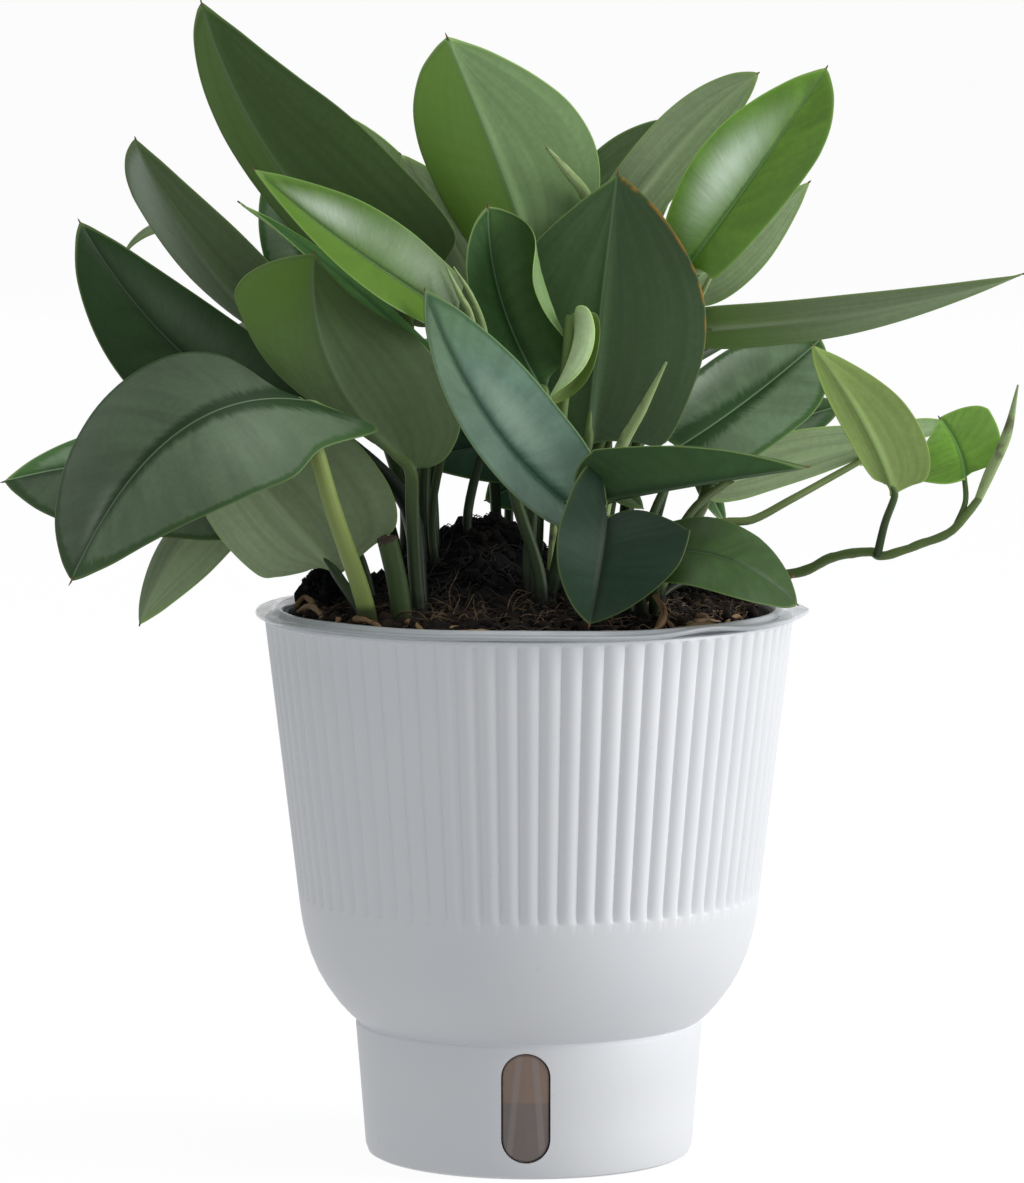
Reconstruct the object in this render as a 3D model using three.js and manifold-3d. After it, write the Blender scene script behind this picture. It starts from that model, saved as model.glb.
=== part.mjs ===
// A silver-leaved scindapsus in a ribbed white self-watering pot.
// Millimetres, +Z up, origin at the centre of the pot's flat base, +X to the right of its front,
// where the sight window is, and +Y to the back.
import * as THREE from 'three';
import { mergeVertices } from 'three/addons/utils/BufferGeometryUtils.js';
import Module from 'manifold-3d';

const wasm = await Module();
wasm.setup();

// Clearance between pieces that touch, and sides of the plain round pieces
const GAP = 0.3;
const ROUND_SIDES = 39;

// Outer pot: a narrow foot, a rounded shoulder and a slightly flared ribbed wall
const POT_HEIGHT = 160;
const POT_RIM_RADIUS = 78;
const BASE_RADIUS = 45;
const FOOT_EDGE = 4;
const FOOT_RADIUS = 48.5;
const FOOT_TOP_RADIUS = 51.4;
const FOOT_TOP = 39.4;
const CREASE_DEPTH = 0.5;
const CREASE_HEIGHT = 1.8;
const SHOULDER_OUTSIDE = [[55.6, 44.9], [60.2, 50.9], [63.7, 56.9], [65.9, 62.9]];
const SHOULDER_INSIDE = [[58, 52.4], [63.4, 63.5]];
const POT_WALL = 2.6;
const POT_FLOOR = 3;
const RIB_COUNT = 2 * ROUND_SIDES;
const RIB_BOTTOM = 77.5;
const RIB_BOTTOM_RADIUS = 68.2;
const GROOVE_DEPTH = 1.1;
const GROOVE_WIDTH = 2.4;
const GROOVE_RUN_IN = 3.5;

// Sight window: an upright slot with round ends in the foot's front wall
const WINDOW_X = -1;
const WINDOW_WIDTH = 14.3;
const WINDOW_BOTTOM = 5;
const WINDOW_TOP = 37.8;
const PANE_INSET = 0.4;
const PANE_THICKNESS = 1.8;

// Clear liner: it hangs in the pot by a flat flange that ends in a small pointed tab
const LINER_FLOOR = 52;
const LINER_FLOOR_RADIUS = 54;
const LINER_CORNER = 4;
const LINER_RADIUS = 73.8;
const LINER_WALL = 1.2;
const LINER_SHOULDER = 150;
const FLANGE_RADIUS = 80.7;
const FLANGE_THICKNESS = 2.5;
const TAB_ROOT_RADIUS = 78.7;
const TAB_TIP_RADIUS = 82.8;
const TAB_THICKNESS = 1.5;
const TAB_HALF_ANGLE = 0.3;

// Grow pot: a black nursery pot that stands on the liner's floor
const GROW_RIM_RADIUS = 72.3;
const GROW_RIM_TOP = 161.5;
const GROW_RIM_BAND = 6.5;
const GROW_RIM_STEP = 1.4;
const GROW_WALL = 1.2;
const GROW_FLOOR_RADIUS = 51.5;
const GROW_CORNER = 1.9;

// Soil: nearly flat with a root mound in the middle, and one peat plug that stands out at the left
const SOIL_EDGE = 160.5;
const SOIL_DOME = 3.5;
const SOIL_MARGIN = 0.5;
const SOIL_RINGS = 5;
const SOIL_SECTORS = 28;
const SOIL_SWELLS = [
  { x: -62, y: 6, rise: 2, width: 9 },
  { x: -14, y: 20, rise: 22, width: 26 },
  { x: 45, y: 25, rise: 3, width: 20 },
];
const PLUG = { x: -61, y: 5, z: 163, radius: 6.5, stretch: 1.45 };

// Foliage: blades are thin curved solids, and each shoot's crown stands in a plain hole in the soil
const BLADE_THICKNESS = 0.8;
const BLADE_STATIONS = 24;
const MIDDLE_STATION = 9;
const STALK_SIDES = 5;
const THIN_STALK = 1.55;
const THIN_STALK_SIDES = 4;
const STALK_INTO_BLADE = 3;
const CROWN_SIDES = 8;
const CROWN_BOTTOM = 146;
const CROWN_RISE = 1.2;
const HOLE_HEADROOM = 25;

// Shoots. A crown is [x, y, radius]. A stem is a bare path, such as a furled leaf, a runner or a root.
// A leaf's stalk runs from the crown to the blade's base, and thick gives radii from root to end.
// base, mid and tip lie on the midrib, and face is the way its upper or lower side looks. Two values
// in half (half width), fold (degrees up from flat), curl, lobe (how far the base reaches back, or
// narrows where negative), hook (1 for a pointed lobe), belly (place of the widest part) and full
// (blunt tip) are the two sides.
const SHOOTS = [
  {
    node: 'shoot_front_left',
    crown: [-45.5, -39.5, 7],
    leaves: [
      { stalk: [[-45.5, -41, 158], [-48.5, -45.5, 172], [-56, -52, 195], [-61, -54, 213]],
        thick: [2.8, 2.2], base: [-64, -50, 227], mid: [-101, -62, 218], tip: [-131, -58, 176],
        face: [-0.15, -0.72, 0.68], half: [31, 36], fold: [5, 0], curl: [-0.35, -0.5],
        lobe: [0.22, -0.15], hook: [1, 0], belly: [0.38, 0.58], full: [0.6, 1] },
      { stalk: [[-46, -38, 158], [-49, -35.5, 165]], thick: [1.8, 1.5], base: [-55, -30, 175],
        mid: [-76, -26, 199], tip: [-98, -24, 223], face: [0.1, 0.95, 0.3], half: [29, 24], fold: 8,
        curl: 0.2, lobe: [0, -0.13], belly: [0.35, 0.42] },
    ],
  },
  {
    node: 'shoot_left',
    crown: [-33, -31.5, 8.5],
    stems: [
      { path: [[-36, -35, 154.5], [-38, -36, 172], [-41, -38, 186]], thick: [3, 3] },
    ],
    leaves: [
      { stalk: [[-31.5, -29, 157], [-32.3, -25.5, 172], [-34, -18.5, 190], [-41, -12, 201]],
        thick: [2.8, 2.4], base: [-56, -6, 214], mid: [-98, 0, 234], tip: [-132, 2, 276],
        face: [-0.3, -0.75, 0.6], half: [20, 18], fold: [10, 15], curl: -0.3, lobe: 0.02,
        full: [1, 0.6] },
      { stalk: [[-31, -32, 156], [-33, -31, 175], [-34, -30, 195]], thick: [2.2, 1.9],
        base: [-35, -30, 206], mid: [-57, -38, 236], tip: [-62, -30, 268], face: [-0.25, 0.93, 0.25],
        half: [28, 25], fold: [8, 12], curl: [0.2, 0.4], lobe: [0.08, -0.42], belly: [0.3, 0.86],
        full: [0.1, 1] },
    ],
  },
  {
    node: 'shoot_low_left',
    crown: [-46, -7.5, 6.4],
    leaves: [
      { stalk: [[-44, -10, 156], [-51, -5, 180], [-65, 2, 199]], thick: [1.8, 1.4], base: [-80, 4, 200],
        mid: [-116, 4, 205], tip: [-155, 6, 199], face: [-0.1, -0.75, 0.65], half: [27, 14], fold: [8, 8],
        curl: [-0.3, -0.3], lobe: 0.03, full: [1, 0.4] },
      { stalk: [[-46.5, -6.5, 159], [-57, 5, 190], [-70, 11, 203]], thick: [1.8, 1.4],
        base: [-84, 10, 196], mid: [-102, 6, 181], tip: [-115, 2, 157], face: [0.3, 0.8, -0.4],
        half: [12, 12], fold: [25, 25], curl: [0.2, 0.2], lobe: [0.1, 0.1] },
    ],
  },
  {
    node: 'shoot_tall_left',
    crown: [-29, 6.5, 6.4],
    leaves: [
      { stalk: [[-32.3, 6, 168], [-35, 8, 185], [-43, 12, 212]], thick: [2, 1.6], base: [-55, 12, 228],
        mid: [-90, 14, 258], tip: [-116, 12, 300], face: [0.25, 0.9, 0.3], half: [14, 12], fold: [5, 10],
        curl: 0.3, lobe: [-0.1, -0.33], belly: [0.4, 0.82], full: [0.4, 1] },
      { stalk: [[-43, 17, 226], [-56, 21, 240], [-72, 29, 254]], thick: [1.2, 1], base: [-90, 34, 262],
        mid: [-106, 34, 273], tip: [-121, 34, 265], face: [0, -0.3, 0.95], half: 5, lobe: 0.02 },
      { stalk: [[-25, 4, 169], [-28, 2, 178], [-28, 2, 196]], thick: [1.5, 1.2], base: [-20, 2, 226],
        mid: [-52, -4, 257], tip: [-85, -4, 282], face: [0.62, -0.25, 0.72], half: 9, lobe: 0.03,
        full: 0 },
      { stalk: [[-31, 8.5, 170], [-33, 13, 192], [-42, 17, 225]], thick: [1.5, 1.3], base: [-52, 20, 244],
        mid: [-66, 22, 266], tip: [-77, 24, 290], face: [-0.3, -0.9, 0.2], half: 13 },
      { stalk: [[-27, 8.5, 172], [-28, 12, 187], [-28, 16, 208], [-22, 22, 240]], thick: [1.5, 1.3],
        base: [-22, 32, 261], mid: [-42, 32, 284], tip: [-60, 32, 307], face: [0.2, 0.9, 0.3], half: 11,
        full: 1 },
      { stalk: [[-30, 3, 166], [-31, 7, 200], [-27, 10, 232]], thick: [2, 1.7], base: [-32, 8, 256],
        mid: [-71, 10, 289], tip: [-96, 4, 340], face: [0.1, 0.93, 0.35], half: [27, 14], fold: [5, 20],
        curl: 0.2, lobe: 0.03, belly: [0.4, 0.6], full: [0.3, 1] },
    ],
  },
  {
    node: 'shoot_bright',
    crown: [3, -23, 2.8],
    stems: [
      { path: [[-14, -20, 237], [-17, -25, 250], [-20, -27, 256], [-24, -26, 264]],
        thick: [0.8, 1.1, 1, 0.3] },
      { path: [[-11, -20, 231], [-13, -22, 246], [-17, -23, 256], [-22, -23, 264]],
        thick: [0.8, 0.9, 0.9, 0.3] },
    ],
    leaves: [
      { stalk: [[3, -23, 158], [3, -23, 174], [-4, -20, 197], [-8, -20, 220]], thick: [2, 1.6],
        base: [-19, -20, 248], mid: [-50, -34, 269], tip: [-79, -44, 293], face: [-0.1, -0.7, 0.7],
        half: 15, fold: [20, 20], curl: 0, lobe: -0.05, full: 0.3 },
    ],
  },
  {
    node: 'shoot_behind_bright',
    crown: [-17, 10, 3],
    leaves: [
      { stalk: [[-17, 10, 176.5], [-18, 12, 190], [-12, 16, 215]], thick: [1.5, 1.3], base: [-6, 20, 239],
        mid: [-20, 20, 265], tip: [-38, 22, 295], face: [-0.1, -0.95, 0.2], half: 13, lobe: 0.03 },
    ],
  },
  {
    node: 'shoot_broad_centre',
    crown: [2.5, -12, 5.5],
    leaves: [
      { stalk: [[0, -12, 161.5], [0, -12, 180], [2, -12, 205]], thick: [2, 1.6], base: [5, -14, 226],
        mid: [-8, -10, 253], tip: [-12, -14, 281], face: [0.35, -0.9, 0.1], half: [10, 26],
        fold: [5, -15], curl: [0.2, 3.1], lobe: -0.1, belly: [0.55, 0.5], full: 0.9 },
      { stalk: [[4.3, -12, 161], [8, -12, 175], [12, -9, 195]], thick: [2, 1.7], base: [17, -8, 211],
        mid: [21, -2, 250], tip: [26, 2, 290], face: [0.03, 0.98, 0.15], half: [33, 33], fold: [10, 10],
        curl: [0.2, 0.2], lobe: -0.03, belly: [0.44, 0.4], full: [0.5, 0.1] },
    ],
  },
  {
    node: 'shoot_tall_centre',
    crown: [4, 4, 5],
    stems: [
      {
        path: [[6, 2, 166.5], [9, 6, 200], [16, 10, 240], [20, 12, 270], [17, 10, 283], [11, 4, 291],
          [5, 0, 298]],
        thick: [1.4, 1.3, 1.2, 1.5, 2, 1.5, 0.4] },
    ],
    leaves: [
      { stalk: [[2, 6, 170.5], [3, 8, 205], [3, 11, 240]], thick: [2, 1.7], base: [1, 10, 266],
        mid: [-9, 7, 294], tip: [-24, 1, 330], face: [-0.05, 0.97, 0.2], half: [29, 24], fold: [10, 20],
        curl: [0.2, 0.3], lobe: -0.06, belly: [0.42, 0.56], full: [0.3, 1] },
    ],
  },
  {
    node: 'shoot_front_centre',
    crown: [14, -20, 6.6],
    stems: [
      {
        path: [[16.6, -17.6, 159], [20, -15, 175], [24, -15, 200], [27, -16, 211], [33, -17, 222],
          [40, -18, 236]],
        thick: [1.4, 1.3, 1.4, 2, 1.6, 0.4] },
    ],
    leaves: [
      { stalk: [[12, -18, 158], [10, -19, 190], [9, -21, 215], [11, -21.5, 235]], thick: [2, 1.7],
        base: [14, -20, 249], mid: [12, -24, 237], tip: [4.5, -27, 223.5], face: [0.9, -0.25, 0.3],
        half: 9, fold: 0, curl: 2.5, lobe: 0.1 },
      { stalk: [[14, -22.5, 159], [13, -28, 173], [13, -34, 188]], thick: [1.8, 1.5],
        base: [10, -38, 197], mid: [-13, -43, 223], tip: [-30, -38, 258], face: [0.2, -0.95, 0.12],
        half: [13, 18], fold: [40, 12], curl: 0, lobe: 0.03 },
    ],
  },
  {
    node: 'shoot_front_right',
    crown: [33, -36, 6.3],
    leaves: [
      { stalk: [[33, -37.5, 158], [31, -45.5, 175], [26, -55, 188]], thick: [1.8, 1.3],
        base: [22, -62, 194], mid: [20, -70, 180], tip: [17, -72, 165], face: [0, -0.85, 0.5],
        half: [24, 15], fold: [5, 30], curl: [-0.3, 0], lobe: [0.1, 0.5], belly: [0.04, 0.3],
        full: [0.35, 0.6] },
      { stalk: [[36, -34, 154.5], [36, -40, 168], [36, -46, 178]], thick: [1.6, 1.3],
        base: [35, -52, 183], mid: [56, -56, 182], tip: [77, -46, 168], face: [0, -0.6, 0.8],
        half: [17, 13.5], fold: 5, curl: -0.3, belly: [0.68, 0.4], full: 1 },
      { stalk: [[30, -34, 156], [26, -40, 178], [21.5, -48, 192]], thick: [1.8, 1.4],
        base: [20, -52, 199], mid: [48, -56, 204], tip: [80, -50, 208], face: [0, 0.05, 1],
        half: [17, 15], fold: [42, 68], curl: 0, lobe: [0.05, 0.1], belly: [0.35, 0.08], full: 0 },
    ],
  },
  {
    node: 'shoot_low_right',
    crown: [33, -2, 8.8],
    leaves: [
      { stalk: [[29, -2, 158], [31, 0, 172], [37, 6, 190], [42, 11, 200]], thick: [1.5, 1.2],
        base: [45, 14, 209], mid: [66, 20, 223], tip: [87, 25, 240], face: [0.1, -0.9, 0.4], half: 16,
        lobe: 0.06, belly: [0.4, 0.6], full: 1 },
      { stalk: [[33, -4, 158], [38, -2, 172], [46, 8, 183], [52, 25, 191]], thick: [2.2, 1.9],
        base: [56, 31, 206], mid: [74, 37, 213], tip: [94, 41, 219], face: [0, -0.8, 0.6], half: 9,
        lobe: 0.03, full: 1 },
      { stalk: [[34, 0, 158], [38, 4, 172], [48, 14, 189]], thick: [1.5, 1.2], base: [57, 24, 197],
        mid: [84, 26, 205], tip: [112, 25, 211], face: [-0.1, 0.85, 0.5], half: [9, 11], lobe: 0.08,
        belly: 0.2 },
      {
        stalk: [[36.5, -6.2, 157], [39, -7, 169], [46, -3, 180], [56, 0, 187], [66, 3, 188],
          [77, 10, 193], [88, 20, 198]],
        thick: [1.5, 1], base: [99, 30, 204], mid: [114, 30, 212], tip: [129, 30, 213],
        face: [0, 0.85, 0.5], half: 4, lobe: 0.03 },
      { stalk: [[38, -2, 158], [39, -1, 165], [44, 4, 168.5]], thick: [1.2, 1], base: [52, 10, 170],
        mid: [59, 10, 169], tip: [66, 10, 165], face: [0, -0.5, 0.85], half: 3 },
      { stalk: [[32, 1.8, 159], [33.5, 5, 169], [38, 18, 186], [44, 32, 203]], thick: [1.3, 1.1],
        base: [50, 34, 204], mid: [54, 34, 194], tip: [59, 34, 184], face: [0.5, -0.8, 0.2], half: 4 },
    ],
  },
  {
    node: 'shoot_tall_right',
    crown: [15.5, 10.5, 7.6],
    stems: [
      { path: [[46, 15, 245], [50, 12, 252], [53, 11, 258], [55, 11, 262]], thick: [0.8, 0.9, 0.8, 0.3] },
    ],
    leaves: [
      { stalk: [[20, 10, 162], [26, 15, 200], [37, 16, 230]], thick: [1.8, 1.4], base: [46, 16, 244],
        mid: [95, 8, 249], tip: [145, -4, 261], face: [0, 0.75, 0.66], half: [11, 8], fold: 5, curl: 0,
        lobe: 0.03, belly: 0.2, full: 0.2 },
      { stalk: [[16, 14, 164], [22, 21, 205], [36, 24, 240]], thick: [1.5, 1.2], base: [47, 20, 257],
        mid: [64, 20, 271], tip: [83, 18, 287], face: [-0.2, 0.9, 0.3], half: [12, 7], fold: [5, 50],
        lobe: 0.03, belly: 0.3, full: 0.3 },
      { stalk: [[14, 7, 164], [19, 7, 205], [33, 8, 235]], thick: [2, 1.6], base: [46, 12, 261],
        mid: [66, 6, 289], tip: [87, 0, 321], face: [-0.25, -0.9, 0.3], half: [20, 13.5], fold: [0, 10],
        lobe: -0.06, belly: [0.42, 0.66], full: [0.4, 1] },
      { stalk: [[12, 13, 166.5], [15, 21, 200], [19, 26, 240]], thick: [1.8, 1.4], base: [24, 26, 271],
        mid: [46, 26, 299], tip: [68, 24, 319], face: [0.2, 0.9, 0.35], half: [9, 10], lobe: 0.03,
        full: 0.8 },
      { stalk: [[11, 10, 166.5], [9, 24, 220]], thick: [1.5, 1.2], base: [14, 34, 279],
        mid: [28, 34, 292], tip: [42, 34, 305], face: [0.2, 0.9, 0.3], half: 8, lobe: 0.03 },
      { stalk: [[19.2, 13.4, 163], [22, 16, 180]], thick: [1.4, 1.2], base: [23.4, 16.6, 199.6],
        mid: [28, 18, 195], tip: [34, 18, 190], face: [0.1, -0.85, 0.4], half: 4, lobe: 0.03 },
    ],
  },
  {
    node: 'shoot_trailing',
    crown: [42, 22, 5],
    stems: [
      {
        path: [[41, 22, 161], [45.5, 22, 168.5], [60, 20, 168.8], [80, 16, 171], [90, 12, 176],
          [101, 8, 178], [105, 6, 177], [117, 5, 181], [124, 4, 184], [128, 4, 188], [133, 6, 194]],
        thick: [1.9, 1.4] },
      { path: [[133, 6, 194], [136, 6, 201], [141, 4, 213], [144, 2, 228]], thick: [1.3, 1.8, 1.7, 0.3] },
      { path: [[66, 11, 163], [70, 13, 165], [76, 15, 169], [80, 16, 171]], thick: [0.8, 0.9] },
    ],
    leaves: [
      { stalk: [[103, 6, 177], [105, 2, 187]], thick: [1.3, 1.1], base: [107, -4, 196],
        mid: [98, -8, 217], tip: [83, -4, 240], face: [-0.4, 0.85, 0.2], half: [15, 6], fold: [5, 15],
        lobe: [0, -0.12], belly: [0.3, 0.5], full: [0.3, 1] },
      { stalk: [[126, 4, 186], [129, 6, 193]], thick: [0.9, 0.8], base: [129, 8, 200],
        mid: [127, 13, 209], tip: [122, 18, 217], face: [0, -0.6, 0.8], half: [17, 14], fold: [5, 5],
        curl: [-0.4, 0], lobe: [0.1, -0.12], belly: [0.12, 0.75], full: [0.2, 1] },
    ],
  },
  {
    node: 'shoot_back_left',
    crown: [-35.5, 26.5, 6.7],
    leaves: [
      { stalk: [[-38, 28, 163.5], [-37, 31, 190]], thick: [1.8, 1.5], base: [-40, 30, 225],
        mid: [-66, 52, 240], tip: [-92, 70, 236], face: [-0.3, 0.4, 0.85], half: 17, lobe: 0.03 },
      { stalk: [[-34, 28.3, 168.5], [-31.5, 37.5, 192]], thick: [1.8, 1.5], base: [-27, 43, 215],
        mid: [-52, 66, 222], tip: [-70, 98, 205], face: [-0.2, 0.5, 0.85], half: 18, lobe: 0.03 },
      { stalk: [[-38, 23, 164.5], [-40, 24, 180]], thick: [1.6, 1.3], base: [-44, 27, 196],
        mid: [-60, 40, 201], tip: [-82, 56, 188], face: [-0.2, 0.4, 0.85], half: 13, lobe: 0.03 },
      { stalk: [[-33, 24, 168.5], [-33, 22, 200]], thick: [1.8, 1.5], base: [-36, 24, 245],
        mid: [-50, 48, 270], tip: [-62, 70, 298], face: [-0.3, 0.85, -0.3], half: 14, lobe: 0.03 },
    ],
  },
  {
    node: 'shoot_back_centre',
    crown: [-6.5, 41.5, 5.6],
    leaves: [
      { stalk: [[-9, 41, 169], [-10, 42, 190]], thick: [1.8, 1.5], base: [-12, 44, 228],
        mid: [-18, 76, 236], tip: [-26, 106, 222], face: [-0.1, 0.4, 0.9], half: 16, lobe: 0.03 },
      { stalk: [[-6, 44, 165.5], [-6, 47, 180]], thick: [1.6, 1.3], base: [-6, 50, 198],
        mid: [0, 82, 198], tip: [6, 110, 180], face: [0, 0.4, 0.9], half: 14, lobe: 0.03 },
      { stalk: [[-4.5, 39.5, 169], [1, 41, 202]], thick: [1.8, 1.5], base: [2, 44, 250],
        mid: [3, 64, 276], tip: [0, 76, 302], face: [0.1, 0.85, -0.5], half: 16, lobe: 0.03 },
      { stalk: [[-5.4, 39.5, 168.5], [3, 38, 191], [12, 36, 200]], thick: [1.5, 1.3], base: [14, 34, 207],
        mid: [-8, 33, 208], tip: [-34, 30, 203], face: [0, -0.9, 0.35], half: 13, lobe: 0.03 },
      { stalk: [[-5.5, 42, 168], [2.5, 45.5, 188]], thick: [1.6, 1.4], base: [10, 46, 203],
        mid: [-1, 46.5, 196], tip: [-13, 46, 190], face: [0.1, -0.9, 0.3], half: 10, lobe: 0.03 },
    ],
  },
  {
    node: 'shoot_back_right',
    crown: [24, 33, 7],
    leaves: [
      { stalk: [[20.5, 35.5, 160.5], [19, 40, 200]], thick: [1.8, 1.5], base: [18, 40, 236],
        mid: [28, 70, 250], tip: [36, 102, 246], face: [0.2, 0.3, 0.9], half: 18, lobe: 0.03 },
      { stalk: [[28, 34, 158], [30, 35, 185]], thick: [1.8, 1.4], base: [30, 34, 212], mid: [52, 62, 220],
        tip: [74, 92, 210], face: [0.2, 0.4, 0.85], half: 15, lobe: 0.03 },
      { stalk: [[25, 36.5, 160], [24, 43, 185]], thick: [1.6, 1.3], base: [24, 44, 210],
        mid: [28, 76, 213], tip: [34, 106, 200], face: [0.1, 0.4, 0.9], half: 14, lobe: 0.03 },
      { stalk: [[21, 31, 160.5], [19, 32, 215]], thick: [1.8, 1.4], base: [20, 38, 258],
        mid: [32, 56, 281], tip: [43, 74, 298], face: [0.2, 0.85, -0.4], half: 11, lobe: 0.03 },
      { stalk: [[26, 29.5, 160.5], [31, 26, 205], [38, 26, 222]], thick: [1.8, 1.4], base: [44, 32, 230],
        mid: [64, 48, 239], tip: [86, 62, 242], face: [0.1, 0.3, 0.95], half: 14, lobe: 0.03 },
    ],
  },
];
const LEAF_DEFAULTS = { fold: 12, curl: -0.3, lobe: 0.16, belly: 0.38, full: 0.6, hook: 0 };

const vec = (a) => new THREE.Vector3(a[0], a[1], a[2]);
const both = (value) => (Array.isArray(value) ? value : [value, value]);
const degrees = (angle) => (angle * Math.PI) / 180;

// Closed mesh from a list of points and triangles, as a solid that can be joined and cut
function solidOf(geometry) {
  const bare = geometry.clone();
  bare.deleteAttribute('normal');
  bare.deleteAttribute('uv');
  const merged = mergeVertices(bare, 1e-4);
  const index = merged.index.array;
  const triangles = [];
  for (let i = 0; i < index.length; i += 3) {
    const [a, b, c] = [index[i], index[i + 1], index[i + 2]];
    const whole = a !== b && b !== c && c !== a;
    if (whole) triangles.push(a, b, c);
  }
  return new wasm.Manifold(new wasm.Mesh({
    numProp: 3,
    vertProperties: Float32Array.from(merged.attributes.position.array),
    triVerts: Uint32Array.from(triangles),
  }));
}

function geometryOf(solid) {
  const mesh = solid.getMesh();
  const geometry = new THREE.BufferGeometry();
  geometry.setAttribute('position', new THREE.BufferAttribute(Float32Array.from(mesh.vertProperties), 3));
  geometry.setIndex(Array.from(mesh.triVerts));
  geometry.computeVertexNormals();
  return geometry;
}

function meshGeometry(points, triangles) {
  const geometry = new THREE.BufferGeometry();
  const flat = points.flatMap((p) => [p.x, p.y, p.z]);
  geometry.setAttribute('position', new THREE.Float32BufferAttribute(flat, 3));
  geometry.setIndex(triangles.flat());
  return geometry;
}

function join(solids) {
  return solids.reduce((whole, solid) => whole.add(solid));
}

// Round body from a profile of [radius, height] pairs that runs from the axis out, up and back
function turned(profile, segments) {
  const points = profile.map(([radius, height]) => new THREE.Vector2(radius, height));
  const geometry = new THREE.LatheGeometry(points, segments);
  return geometry.rotateX(Math.PI / 2);
}

function wallRadius(z) {
  const slope = (POT_RIM_RADIUS - RIB_BOTTOM_RADIUS) / (POT_HEIGHT - RIB_BOTTOM);
  return RIB_BOTTOM_RADIUS + (z - RIB_BOTTOM) * slope;
}

// Ribbed part of the wall as a solid drum: flat crests with a V-shaped valley between each two,
// which runs in from nothing at the lower end
function ribbedDrum() {
  const points = [];
  const add = (radius, angle, z) => {
    points.push(new THREE.Vector3(radius * Math.cos(angle), radius * Math.sin(angle), z));
    return points.length - 1;
  };
  const pitch = (2 * Math.PI) / RIB_COUNT;
  const ring = (z, i) => {
    const half = GROOVE_WIDTH / 2 / wallRadius(z);
    const crest = wallRadius(z) * Math.cos(pitch / 2);
    return [
      add(crest / Math.cos(pitch / 2 - half), i * pitch - half, z),
      add(wallRadius(z) - GROOVE_DEPTH, i * pitch, z),
      add(crest / Math.cos(pitch / 2 - half), i * pitch + half, z),
    ];
  };
  const ribs = [];
  for (let i = 0; i < RIB_COUNT; i += 1) {
    const foot = add(RIB_BOTTOM_RADIUS, i * pitch, RIB_BOTTOM);
    ribs.push({ foot, low: ring(RIB_BOTTOM + GROOVE_RUN_IN, i), high: ring(POT_HEIGHT, i) });
  }
  const bottom = add(0, 0, RIB_BOTTOM);
  const top = add(0, 0, POT_HEIGHT);
  const triangles = [];
  ribs.forEach(({ foot, low, high }, i) => {
    const next = ribs[(i + 1) % RIB_COUNT];
    triangles.push([foot, low[1], low[0]], [foot, low[2], low[1]], [foot, next.low[0], low[2]]);
    triangles.push([foot, next.foot, next.low[0]], [bottom, next.foot, foot]);
    const lowRow = [...low, next.low[0]];
    const highRow = [...high, next.high[0]];
    for (let k = 0; k < 3; k += 1) {
      triangles.push([lowRow[k], lowRow[k + 1], highRow[k + 1]]);
      triangles.push([lowRow[k], highRow[k + 1], highRow[k]]);
      triangles.push([top, highRow[k], highRow[k + 1]]);
    }
  });
  return meshGeometry(points, triangles);
}

// Upright slot shape with round ends, run through the front wall along Y
function windowPrism(clearance) {
  const radius = WINDOW_WIDTH / 2 - clearance;
  const low = WINDOW_BOTTOM + WINDOW_WIDTH / 2;
  const high = WINDOW_TOP - WINDOW_WIDTH / 2;
  const shape = new THREE.Shape();
  shape.absarc(0, low, radius, Math.PI, 2 * Math.PI, false);
  shape.absarc(0, high, radius, 0, Math.PI, false);
  const depth = 2 * POT_WALL + 6;
  const options = { depth, bevelEnabled: false, curveSegments: 8 };
  const prism = new THREE.ExtrudeGeometry(shape, options);
  return prism.rotateX(Math.PI / 2).translate(WINDOW_X, -FOOT_RADIUS + depth / 2, 0);
}

function footRadius(z) {
  const slope = (FOOT_TOP_RADIUS - FOOT_RADIUS) / (FOOT_TOP - FOOT_EDGE);
  return FOOT_RADIUS + (z - FOOT_EDGE) * slope;
}

function outerPot() {
  const lower = solidOf(turned([
    [0, 0], [BASE_RADIUS, 0], [FOOT_RADIUS, FOOT_EDGE], [FOOT_TOP_RADIUS, FOOT_TOP],
    [FOOT_TOP_RADIUS - CREASE_DEPTH, FOOT_TOP + CREASE_HEIGHT / 2],
    [FOOT_TOP_RADIUS + CREASE_DEPTH, FOOT_TOP + CREASE_HEIGHT],
    ...SHOULDER_OUTSIDE, [RIB_BOTTOM_RADIUS, RIB_BOTTOM], [0, RIB_BOTTOM],
  ], ROUND_SIDES));
  const inside = solidOf(turned([
    [0, POT_FLOOR], [FOOT_RADIUS - POT_WALL, POT_FLOOR], [FOOT_TOP_RADIUS - POT_WALL, FOOT_TOP],
    ...SHOULDER_INSIDE, [RIB_BOTTOM_RADIUS - POT_WALL, RIB_BOTTOM],
    [wallRadius(POT_HEIGHT + 1) - POT_WALL, POT_HEIGHT + 1], [0, POT_HEIGHT + 1],
  ], ROUND_SIDES));
  const body = lower.add(solidOf(ribbedDrum())).subtract(inside);
  return geometryOf(body.subtract(solidOf(windowPrism(0))));
}

function windowPane() {
  const outer = (z) => footRadius(z) - PANE_INSET;
  const [low, high] = [WINDOW_BOTTOM - 1, WINDOW_TOP + 1];
  const sleeve = solidOf(turned([
    [outer(low) - PANE_THICKNESS, low], [outer(low), low], [outer(high), high],
    [outer(high) - PANE_THICKNESS, high], [outer(low) - PANE_THICKNESS, low],
  ], ROUND_SIDES));
  return geometryOf(sleeve.intersect(solidOf(windowPrism(GAP))));
}

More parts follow.
